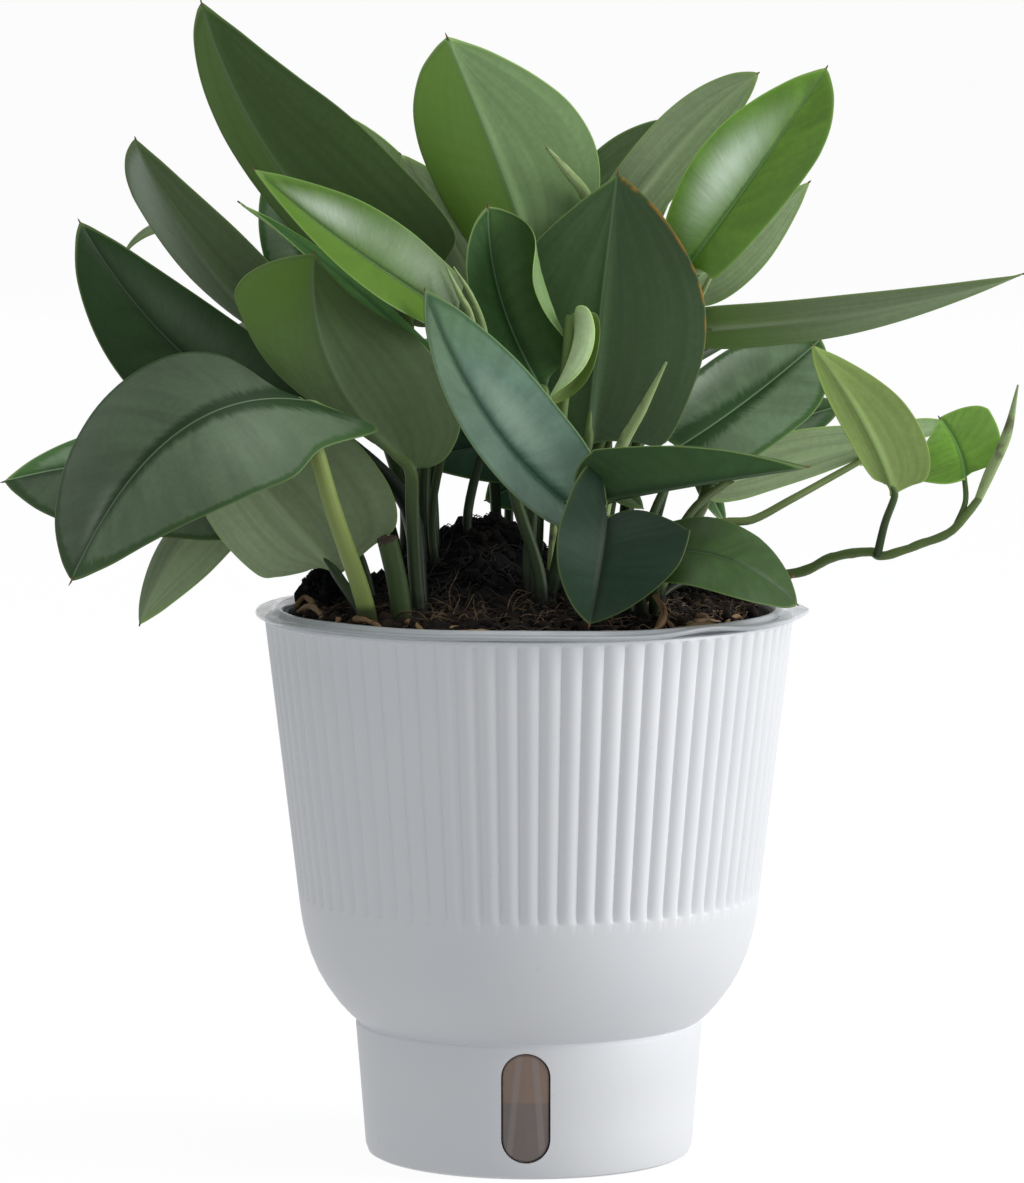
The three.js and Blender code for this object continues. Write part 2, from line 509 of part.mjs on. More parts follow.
function clearLiner() {
  const flangeLow = POT_HEIGHT + GAP;
  const flangeTop = flangeLow + FLANGE_THICKNESS;
  const bore = LINER_RADIUS - LINER_WALL;
  const cup = solidOf(turned([
    [0, LINER_FLOOR], [LINER_FLOOR_RADIUS, LINER_FLOOR],
    [LINER_FLOOR_RADIUS + LINER_CORNER / 2, LINER_FLOOR + LINER_CORNER],
    [LINER_RADIUS, LINER_SHOULDER], [LINER_RADIUS, flangeLow], [FLANGE_RADIUS, flangeLow],
    [FLANGE_RADIUS, flangeTop], [bore, flangeTop], [bore, LINER_SHOULDER],
    [LINER_FLOOR_RADIUS + LINER_CORNER / 2 - LINER_WALL, LINER_FLOOR + LINER_CORNER],
    [LINER_FLOOR_RADIUS - LINER_WALL, LINER_FLOOR + LINER_WALL], [0, LINER_FLOOR + LINER_WALL],
  ], ROUND_SIDES));
  const tab = new THREE.Shape();
  const rootX = TAB_ROOT_RADIUS * Math.cos(TAB_HALF_ANGLE);
  const rootY = TAB_ROOT_RADIUS * Math.sin(TAB_HALF_ANGLE);
  tab.moveTo(rootX, -rootY);
  tab.lineTo(TAB_TIP_RADIUS, 0);
  tab.lineTo(rootX, rootY);
  const plate = new THREE.ExtrudeGeometry(tab, { depth: TAB_THICKNESS, bevelEnabled: false });
  const low = flangeLow + (FLANGE_THICKNESS - TAB_THICKNESS) / 2;
  return geometryOf(cup.add(solidOf(plate.translate(0, 0, low))));
}

const growFloor = LINER_FLOOR + LINER_WALL + GAP;
const growBandLow = GROW_RIM_TOP - GROW_RIM_BAND;
const growShoulder = GROW_RIM_RADIUS - GROW_RIM_STEP;

function growPot() {
  return turned([
    [0, growFloor], [GROW_FLOOR_RADIUS, growFloor],
    [GROW_FLOOR_RADIUS + GROW_CORNER, growFloor + GROW_CORNER],
    [growShoulder, growBandLow - GROW_WALL / 2], [GROW_RIM_RADIUS, growBandLow],
    [GROW_RIM_RADIUS, GROW_RIM_TOP], [GROW_RIM_RADIUS - GROW_WALL, GROW_RIM_TOP],
    [growShoulder - GROW_WALL, growBandLow - GROW_WALL],
    [GROW_FLOOR_RADIUS + GROW_CORNER - GROW_WALL, growFloor + GROW_CORNER + GROW_WALL / 2],
    [GROW_FLOOR_RADIUS, growFloor + GROW_WALL], [0, growFloor + GROW_WALL],
  ], ROUND_SIDES);
}

const soilEdgeRadius = growShoulder - GROW_WALL - SOIL_MARGIN;

function soilHeight(x, y) {
  const dome = SOIL_DOME * (1 - (x * x + y * y) / (soilEdgeRadius * soilEdgeRadius));
  const swell = (s) => s.rise * Math.exp(-((x - s.x) ** 2 + (y - s.y) ** 2) / s.width ** 2);
  return SOIL_EDGE + dome + SOIL_SWELLS.reduce((sum, s) => sum + swell(s), 0);
}

function soil() {
  const floor = growFloor + GROW_WALL + GAP;
  const points = [new THREE.Vector3(0, 0, soilHeight(0, 0))];
  const ring = (radius, height) => {
    for (let k = 0; k < SOIL_SECTORS; k += 1) {
      const angle = (k * 2 * Math.PI) / SOIL_SECTORS;
      const [x, y] = [radius * Math.cos(angle), radius * Math.sin(angle)];
      points.push(new THREE.Vector3(x, y, height(x, y)));
    }
  };
  for (let i = 1; i <= SOIL_RINGS; i += 1) ring((soilEdgeRadius * i) / SOIL_RINGS, soilHeight);
  ring(soilEdgeRadius, () => growBandLow - GROW_WALL);
  ring(GROW_FLOOR_RADIUS + GROW_CORNER - GROW_WALL - SOIL_MARGIN, () => floor + GROW_CORNER);
  ring(GROW_FLOOR_RADIUS - 2 * SOIL_MARGIN, () => floor);
  points.push(new THREE.Vector3(0, 0, floor));
  const triangles = [];
  for (let k = 0; k < SOIL_SECTORS; k += 1) {
    const next = (k + 1) % SOIL_SECTORS;
    triangles.push([0, 1 + k, 1 + next]);
    for (let i = 0; i < SOIL_RINGS + 2; i += 1) {
      const [a, b] = [1 + i * SOIL_SECTORS + k, 1 + i * SOIL_SECTORS + next];
      triangles.push([a, a + SOIL_SECTORS, b + SOIL_SECTORS], [a, b + SOIL_SECTORS, b]);
    }
    const last = 1 + (SOIL_RINGS + 2) * SOIL_SECTORS;
    triangles.push([points.length - 1, last + next, last + k]);
  }
  const plug = new THREE.IcosahedronGeometry(PLUG.radius, 1);
  plug.scale(1, 1, PLUG.stretch).translate(PLUG.x, PLUG.y, PLUG.z);
  let body = solidOf(meshGeometry(points, triangles)).add(solidOf(plug));
  for (const { crown } of SHOOTS) {
    body = body.subtract(solidOf(crownPost(crown, GAP)));
  }
  return geometryOf(body);
}

// Upright post where a shoot's stalks meet, or, with a clearance, the hole that it stands in
function crownPost([x, y, radius], clearance) {
  const top = soilHeight(x, y) + CROWN_RISE + (clearance ? HOLE_HEADROOM : 0);
  const bottom = CROWN_BOTTOM - clearance;
  const grown = radius + clearance / Math.cos(Math.PI / CROWN_SIDES);
  const post = new THREE.CylinderGeometry(grown, grown, top - bottom, CROWN_SIDES);
  return post.rotateX(Math.PI / 2).translate(x, y, (top + bottom) / 2);
}

// Smooth curve through evenly spaced control values, straight on at both ends
function spline(values, x) {
  const last = values.length - 1;
  const place = Math.min(Math.max(x, 0), 1) * last;
  const i = Math.min(Math.floor(place), last - 1);
  const f = place - i;
  const [b, c] = [values[i], values[i + 1]];
  const blend = (k) => {
    const before = i > 0 ? values[i - 1][k] : 2 * b[k] - c[k];
    const after = i + 2 <= last ? values[i + 2][k] : 2 * c[k] - b[k];
    return 0.5 * (2 * b[k] + (c[k] - before) * f + (2 * before - 5 * b[k] + 4 * c[k] - after) * f * f
      + (3 * b[k] - before - 3 * c[k] + after) * f ** 3);
  };
  return b.map((_, k) => blend(k));
}

// Midrib: a parabola through base, middle and tip, straight on past its ends
function midrib(leaf, t) {
  const [a, b, c] = [vec(leaf.base), vec(leaf.mid), vec(leaf.tip)];
  const k = Math.min(Math.max(t, 0), 1);
  const point = a.clone().multiplyScalar((1 - k) * (1 - 2 * k));
  point.addScaledVector(b, 4 * k * (1 - k)).addScaledVector(c, k * (2 * k - 1));
  if (t < 0) point.addScaledVector(a, -3 * t).addScaledVector(b, 4 * t).addScaledVector(c, -t);
  return point;
}

function midribDirection(leaf, k) {
  const direction = vec(leaf.base).multiplyScalar(4 * k - 3);
  direction.addScaledVector(vec(leaf.mid), 4 - 8 * k).addScaledVector(vec(leaf.tip), 4 * k - 1);
  return direction.normalize();
}

// Directions along the midrib: out of the face and to the side, carried along without twist
function bladeFrames(leaf) {
  const along = [];
  for (let i = 0; i <= BLADE_STATIONS; i += 1) along.push(midribDirection(leaf, i / BLADE_STATIONS));
  const square = (v, t) => v.clone().addScaledVector(t, -v.dot(t)).normalize();
  const out = new Array(BLADE_STATIONS + 1);
  out[MIDDLE_STATION] = square(vec(leaf.face), along[MIDDLE_STATION]);
  for (let i = MIDDLE_STATION + 1; i <= BLADE_STATIONS; i += 1) out[i] = square(out[i - 1], along[i]);
  for (let i = MIDDLE_STATION - 1; i >= 0; i -= 1) out[i] = square(out[i + 1], along[i]);
  const side = out.map((n, i) => along[i].clone().cross(n));
  return { out, side };
}

function between(directions, t) {
  const place = Math.min(Math.max(t, 0), 1) * BLADE_STATIONS;
  const i = Math.min(Math.floor(place), BLADE_STATIONS - 1);
  return directions[i].clone().lerp(directions[i + 1], place - i).normalize();
}

// Margin of one half of a blade as [along, out] control points, from base to tip
function margin(lobe, belly, full, hook) {
  const back = lobe >= 0
    ? [[0, 0], [-lobe * 0.75, 0.17], [-lobe, 0.42 - 0.12 * hook],
      [-lobe * (0.45 - 0.4 * hook), 0.75 - 0.13 * hook], [belly * 0.38, 0.95]]
    : [[0, 0], [-lobe * 0.7, 0.17], [-lobe, 0.42], [-lobe * 1.45, 0.72],
      [Math.max(belly * 0.6, -lobe * 1.9), 0.93]];
  const rest = 1 - belly;
  const front = [
    [belly, 1], [belly + rest * 0.3, 0.89 + 0.07 * full], [belly + rest * 0.56, 0.62 + 0.2 * full],
    [belly + rest * 0.8, 0.29 + 0.25 * full], [belly + rest * 0.94, 0.075 + 0.15 * full], [1, 0],
  ];
  return back.concat(front);
}

// Point of a blade's middle surface, t from base to tip and s from one margin (-1) to the other (1)
function bladePoint(leaf, frames, t, s) {
  const j = s < 0 ? 0 : 1;
  const reach = Math.abs(s);
  const half = both(leaf.half)[j];
  const fold = degrees(both(leaf.fold)[j]);
  const curl = both(leaf.curl)[j];
  const [lobe, belly, full, hook] = [leaf.lobe, leaf.belly, leaf.full, leaf.hook].map((v) => both(v)[j]);
  const edge = margin(lobe, belly, full, hook);
  const [edgeAlong, edgeOut] = spline(edge, t);
  const start = t ** 1.45;
  const place = start + (edgeAlong - start) * reach ** 0.9;
  const r = edgeOut * half * reach;
  const bend = curl / half;
  const flat = Math.abs(curl) < 1e-3;
  const across = flat ? r * Math.cos(fold) : (Math.sin(fold + bend * r) - Math.sin(fold)) / bend;
  const rise = flat ? r * Math.sin(fold) : (Math.cos(fold) - Math.cos(fold + bend * r)) / bend;
  const point = midrib(leaf, place);
  point.addScaledVector(between(frames.side, place), j ? across : -across);
  return point.addScaledVector(between(frames.out, place), rise);
}

// Blade solid: both faces are the middle surface moved half the thickness out and split alike
function blade(leaf) {
  const frames = bladeFrames(leaf);
  const length = vec(leaf.base).distanceTo(vec(leaf.tip));
  const halves = Math.max(...both(leaf.half)) > 9 ? 2 : 1;
  const rows = length > 45 ? 7 : 5;
  const columns = 2 * halves;
  const at = (i, j) => i * (columns + 1) + j;
  const middle = [];
  for (let i = 0; i <= rows; i += 1) {
    for (let j = 0; j <= columns; j += 1) middle.push(bladePoint(leaf, frames, i / rows, j / halves - 1));
  }
  const cells = [];
  for (let i = 0; i < rows; i += 1) {
    for (let j = 0; j < columns; j += 1) {
      cells.push([at(i, j), at(i, j + 1), at(i + 1, j + 1)], [at(i, j), at(i + 1, j + 1), at(i + 1, j)]);
    }
  }
  const normals = middle.map(() => new THREE.Vector3());
  for (const [a, b, c] of cells) {
    const normal = middle[b].clone().sub(middle[a]).cross(middle[c].clone().sub(middle[a]));
    for (const k of [a, b, c]) normals[k].add(normal);
  }
  for (const i of [0, rows]) {
    const sum = new THREE.Vector3();
    for (let j = 0; j <= columns; j += 1) sum.add(normals[at(i, j)]);
    for (let j = 0; j <= columns; j += 1) normals[at(i, j)].copy(sum);
  }
  const offset = BLADE_THICKNESS / 2;
  const front = middle.map((p, k) => p.clone().addScaledVector(normals[k].normalize(), offset));
  const back = middle.map((p, k) => p.clone().addScaledVector(normals[k], -offset));
  const triangles = cells.map(([a, b, c]) => [a, b, c]);
  const shift = middle.length;
  for (const [a, b, c] of cells) triangles.push([a + shift, c + shift, b + shift]);
  for (let i = 0; i < rows; i += 1) {
    const [a, b] = [at(i, 0), at(i + 1, 0)];
    const [c, d] = [at(i, columns), at(i + 1, columns)];
    triangles.push([a, b, b + shift], [a, b + shift, a + shift]);
    triangles.push([c, d + shift, d], [c, c + shift, d + shift]);
  }
  return meshGeometry(front.concat(back), triangles);
}

// Round stalk along a path, with radii from its root to its end, and a blunt or a pointed end
function stalk(path, thick, point) {
  const steps = Math.max(4, path.length - 1);
  const sides = Math.max(...thick) < THIN_STALK ? THIN_STALK_SIDES : STALK_SIDES;
  const centres = [];
  for (let i = 0; i <= steps; i += 1) centres.push(vec(spline(path, i / steps)));
  const lean = new THREE.Vector3(0.3, 1, 0.1);
  const points = [];
  centres.forEach((centre, i) => {
    const ahead = centres[Math.min(i + 1, steps)].clone().sub(centres[Math.max(i - 1, 0)]).normalize();
    const side = ahead.clone().cross(lean).normalize();
    const up = ahead.clone().cross(side);
    const place = (i / steps) * (thick.length - 1);
    const k = Math.min(Math.floor(place), thick.length - 2);
    const radius = thick[k] + (thick[k + 1] - thick[k]) * (place - k);
    for (let n = 0; n < sides; n += 1) {
      const angle = (n * 2 * Math.PI) / sides;
      const point = centre.clone().addScaledVector(side, radius * Math.cos(angle));
      points.push(point.addScaledVector(up, radius * Math.sin(angle)));
    }
  });
  points.push(centres[0], point ?? centres[steps]);
  const triangles = [];
  const [root, end] = [points.length - 2, points.length - 1];
  for (let n = 0; n < sides; n += 1) {
    const next = (n + 1) % sides;
    for (let i = 0; i < steps; i += 1) {
      const [a, b] = [i * sides + n, i * sides + next];
      triangles.push([a, b, b + sides], [a, b + sides, a + sides]);
    }
    triangles.push([root, next, n], [end, steps * sides + n, steps * sides + next]);
  }
  return meshGeometry(points, triangles);
}

// One shoot: its crown, stems, leaf stalks and blades fused into one body
function shoot({ crown, stems = [], leaves }) {
  const solids = [solidOf(crownPost(crown, 0))];
  for (const { path, thick } of stems) solids.push(solidOf(stalk(path, thick)));
  for (const row of leaves) {
    const leaf = { ...LEAF_DEFAULTS, ...row };
    const point = vec(leaf.base).addScaledVector(midribDirection(leaf, 0), STALK_INTO_BLADE);
    solids.push(solidOf(stalk([...leaf.stalk, leaf.base], leaf.thick, point)), solidOf(blade(leaf)));
  }
  return geometryOf(join(solids));
}

const FINISHES = {
  outer_pot: { color: 0xe9eaeb, roughness: 0.55, metalness: 0 },
  window_pane: { color: 0x6f6964, roughness: 0.2, metalness: 0 },
  clear_liner: { color: 0xb4bec4, roughness: 0.15, metalness: 0, transparent: true, opacity: 0.45 },
  grow_pot: { color: 0x17181a, roughness: 0.5, metalness: 0 },
  soil: { color: 0x2b211b, roughness: 0.95, metalness: 0 },
};
const FOLIAGE_FINISH = { color: 0x4f7150, roughness: 0.45, metalness: 0 };

const plant = new THREE.Group();

function place(name, geometry) {
  const finish = FINISHES[name] ?? FOLIAGE_FINISH;
  const mesh = new THREE.Mesh(geometry, new THREE.MeshStandardMaterial(finish));
  mesh.name = name;
  plant.add(mesh);
}

place('outer_pot', outerPot());
place('window_pane', windowPane());
place('clear_liner', clearLiner());
place('grow_pot', growPot());
place('soil', soil());
for (const row of SHOOTS) place(row.node, shoot(row));

export default plant;
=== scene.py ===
"""Potted sterling silver scindapsus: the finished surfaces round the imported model.

The scene is in metres, +Z up, and the sight window looks towards -Y. Sizes and tables below are in
millimetres, as on the real plant, and turn into metres where a mesh is made.
"""
import math

import bpy
import numpy as np
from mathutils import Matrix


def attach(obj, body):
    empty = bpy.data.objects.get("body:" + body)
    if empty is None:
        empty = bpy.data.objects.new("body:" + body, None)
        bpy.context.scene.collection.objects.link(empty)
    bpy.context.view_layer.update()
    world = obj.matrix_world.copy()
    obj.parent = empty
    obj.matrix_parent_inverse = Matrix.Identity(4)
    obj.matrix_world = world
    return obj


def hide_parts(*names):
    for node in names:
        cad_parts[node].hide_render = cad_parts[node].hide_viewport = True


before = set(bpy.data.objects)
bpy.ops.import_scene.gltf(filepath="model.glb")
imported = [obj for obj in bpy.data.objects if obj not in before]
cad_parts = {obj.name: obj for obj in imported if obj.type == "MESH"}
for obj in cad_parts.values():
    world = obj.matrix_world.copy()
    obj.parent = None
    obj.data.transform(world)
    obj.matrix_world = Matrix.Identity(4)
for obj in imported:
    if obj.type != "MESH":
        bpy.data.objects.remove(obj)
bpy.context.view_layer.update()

MM = 0.001

# Camera: a long lens from a little above, 1.9 m in front of the pot's axis
CAMERA_PLACE = (-0.005, -1.9, 0.36)
CAMERA_PITCH = 5.8
FOCAL_PIXELS = 6473
IMAGE_HEIGHT = 1183
SENSOR = 36

# Outer pot: ribbed drum on a smooth shoulder and a narrow foot
POT_HEIGHT = 160
RIB_COUNT = 78
RIB_BOTTOM = 77.5
RIB_TOP = 159.2
RIB_DEPTH = 1.1
RIB_RUN_IN = 4.5
COLUMNS_PER_RIB = 8
POT_OUTSIDE = [
    (0, 1.2), (40, 1.2), (42.5, 0), (46.2, 0), (47.7, 0.8), (48.5, 3), (49.2, 12), (50.3, 26), (51.35, 38.9),
    (51.2, 39.4), (50.75, 39.8), (50.75, 40.3), (51.5, 40.8), (53.4, 42.4), (56.6, 45.9), (60.1, 50.8),
    (62.6, 55.2), (64.7, 60.2), (66.2, 65.2), (67.2, 70), (67.8, 74), (68.2, RIB_BOTTOM),
]
POT_RIM_RADIUS = 78
POT_DRUM_LEVELS = (77.9, 78.4, 79, 79.8, 80.8, 82, 90, 105, 120, 135, 150, 158.4, 159.3)
POT_INSIDE = [
    (77.6, 160), (76.6, 160.2), (75.4, 160.2), (65.6, 77.5), (63.4, 63.5), (58, 52.4), (48.8, 40.4), (48.6, 38.8),
    (46, 4), (0, 3.4),
]
POT_SHARP = 35
WINDOW_X = -1
WINDOW_WIDTH = 14.3
WINDOW_BOTTOM = 5
WINDOW_TOP = 37.8
# Height at which the pane turns from brown to greyer
PANE_TINT_LINE = 23
# The foot's wall, in which the pane lies a hair back: radius at one height, slope, and how far back
FOOT_RADIUS = 48.5
FOOT_LEVEL = 4
FOOT_SLOPE = 2.9 / 35.4
PANE_RECESS = 0.45
# Pale inner ribs seen through the pane: foot in x, lean and width
PANE_RIBS = ((-6.6, 0.10, 0.9), (4.4, -0.075, 1.0))

# Liner, nursery pot and soil
FLANGE_LOW = 160.3
FLANGE_TOP = 162.7
TAB_REACH = 2.1
LIFT_ANGLE = -50
LIFT_SPREAD = 9
LIFT_HEIGHT = 1.5
GROW_RIM_TOP = 161.5
GROW_RIM_RADIUS = 72.3
SOIL_RADIUS = 69.2
SOIL_EDGE = 160.5
SOIL_DOME = 3.5
SOIL_SWELLS = [(-62, 6, 2, 9), (-14, 20, 22, 26), (45, 25, 3, 20)]
PLUG_PLACE = (-61, 5, 163)
PLUG_RADIUS = 6.5
PLUG_STRETCH = 1.45
CRUMB_COUNT = 3400
PLUG_CRUMB_COUNT = 420
FIBRE_COUNT = 700
# Painted shade under the crowns: heaped peat darkens between these heights, and fibres that start above the
# third are drawn in a near-black copy of their colour
PEAT_SHADE_FROM = 164
PEAT_SHADE_FULL = 171
SHADED_FIBRES_FROM = 165.5

# Blade of a leaf
BLADE_STATIONS = 24
MIDDLE_STATION = 9
BLADE_ROWS = 60
SMALL_BLADE_ROWS = 30
ACROSS = (0, 0.025, 0.06, 0.11, 0.18, 0.27, 0.37, 0.48, 0.59, 0.7, 0.8, 0.89, 0.95, 0.985, 1)
STALK_SIDES = 14
# Half thickness at the margin, what the middle adds, and how far the rounded lip stands out
BLADE_EDGE = 0.16
BLADE_BODY = 0.24
BLADE_LIP = 0.14
VEIN_COUNT = 15
VEIN_RELIEF = 0.03
# A stalk is dark with painted shade up to about this height above the peat
STALK_SHADE_HEIGHT = 60
# Each leaf and stem has a number of its own, which sets its streaks
LOT_STEP = 0.37


# Foliage table

def row(stalk, thick, base, mid, tip, face, half, tones, **rest):
    """A leaf on its stalk. Two values in a list are for the two halves of the blade.

    stalk, thick: points and radii from root to end; base, mid, tip: points on the midrib
    face: which way the upper side looks at about a third of the length; half: half widths
    tones: of the upper and of the under side, from TONES
    fold, curl: how far the halves stand up from flat, in degrees, and how they bend on from there
    lobe, hook, belly, full: shape of the margin (see margin); light: brightness, partly the leaf's own tone and
    partly painted light and shade; glow: greener by so much, partly the leaf's own colour and partly painted light
    shining through it from behind
    burn: ochre margin, on the first half where below 0; stalk_tint: how pale the stalk is
    sheen: painted gloss highlights (above 0) or greener patches, as half, place along and out, length, width and
    strength
    """
    return dict(rest, stalk=stalk, thick=thick, base=base, mid=mid, tip=tip, face=face, half=half, tones=tones)


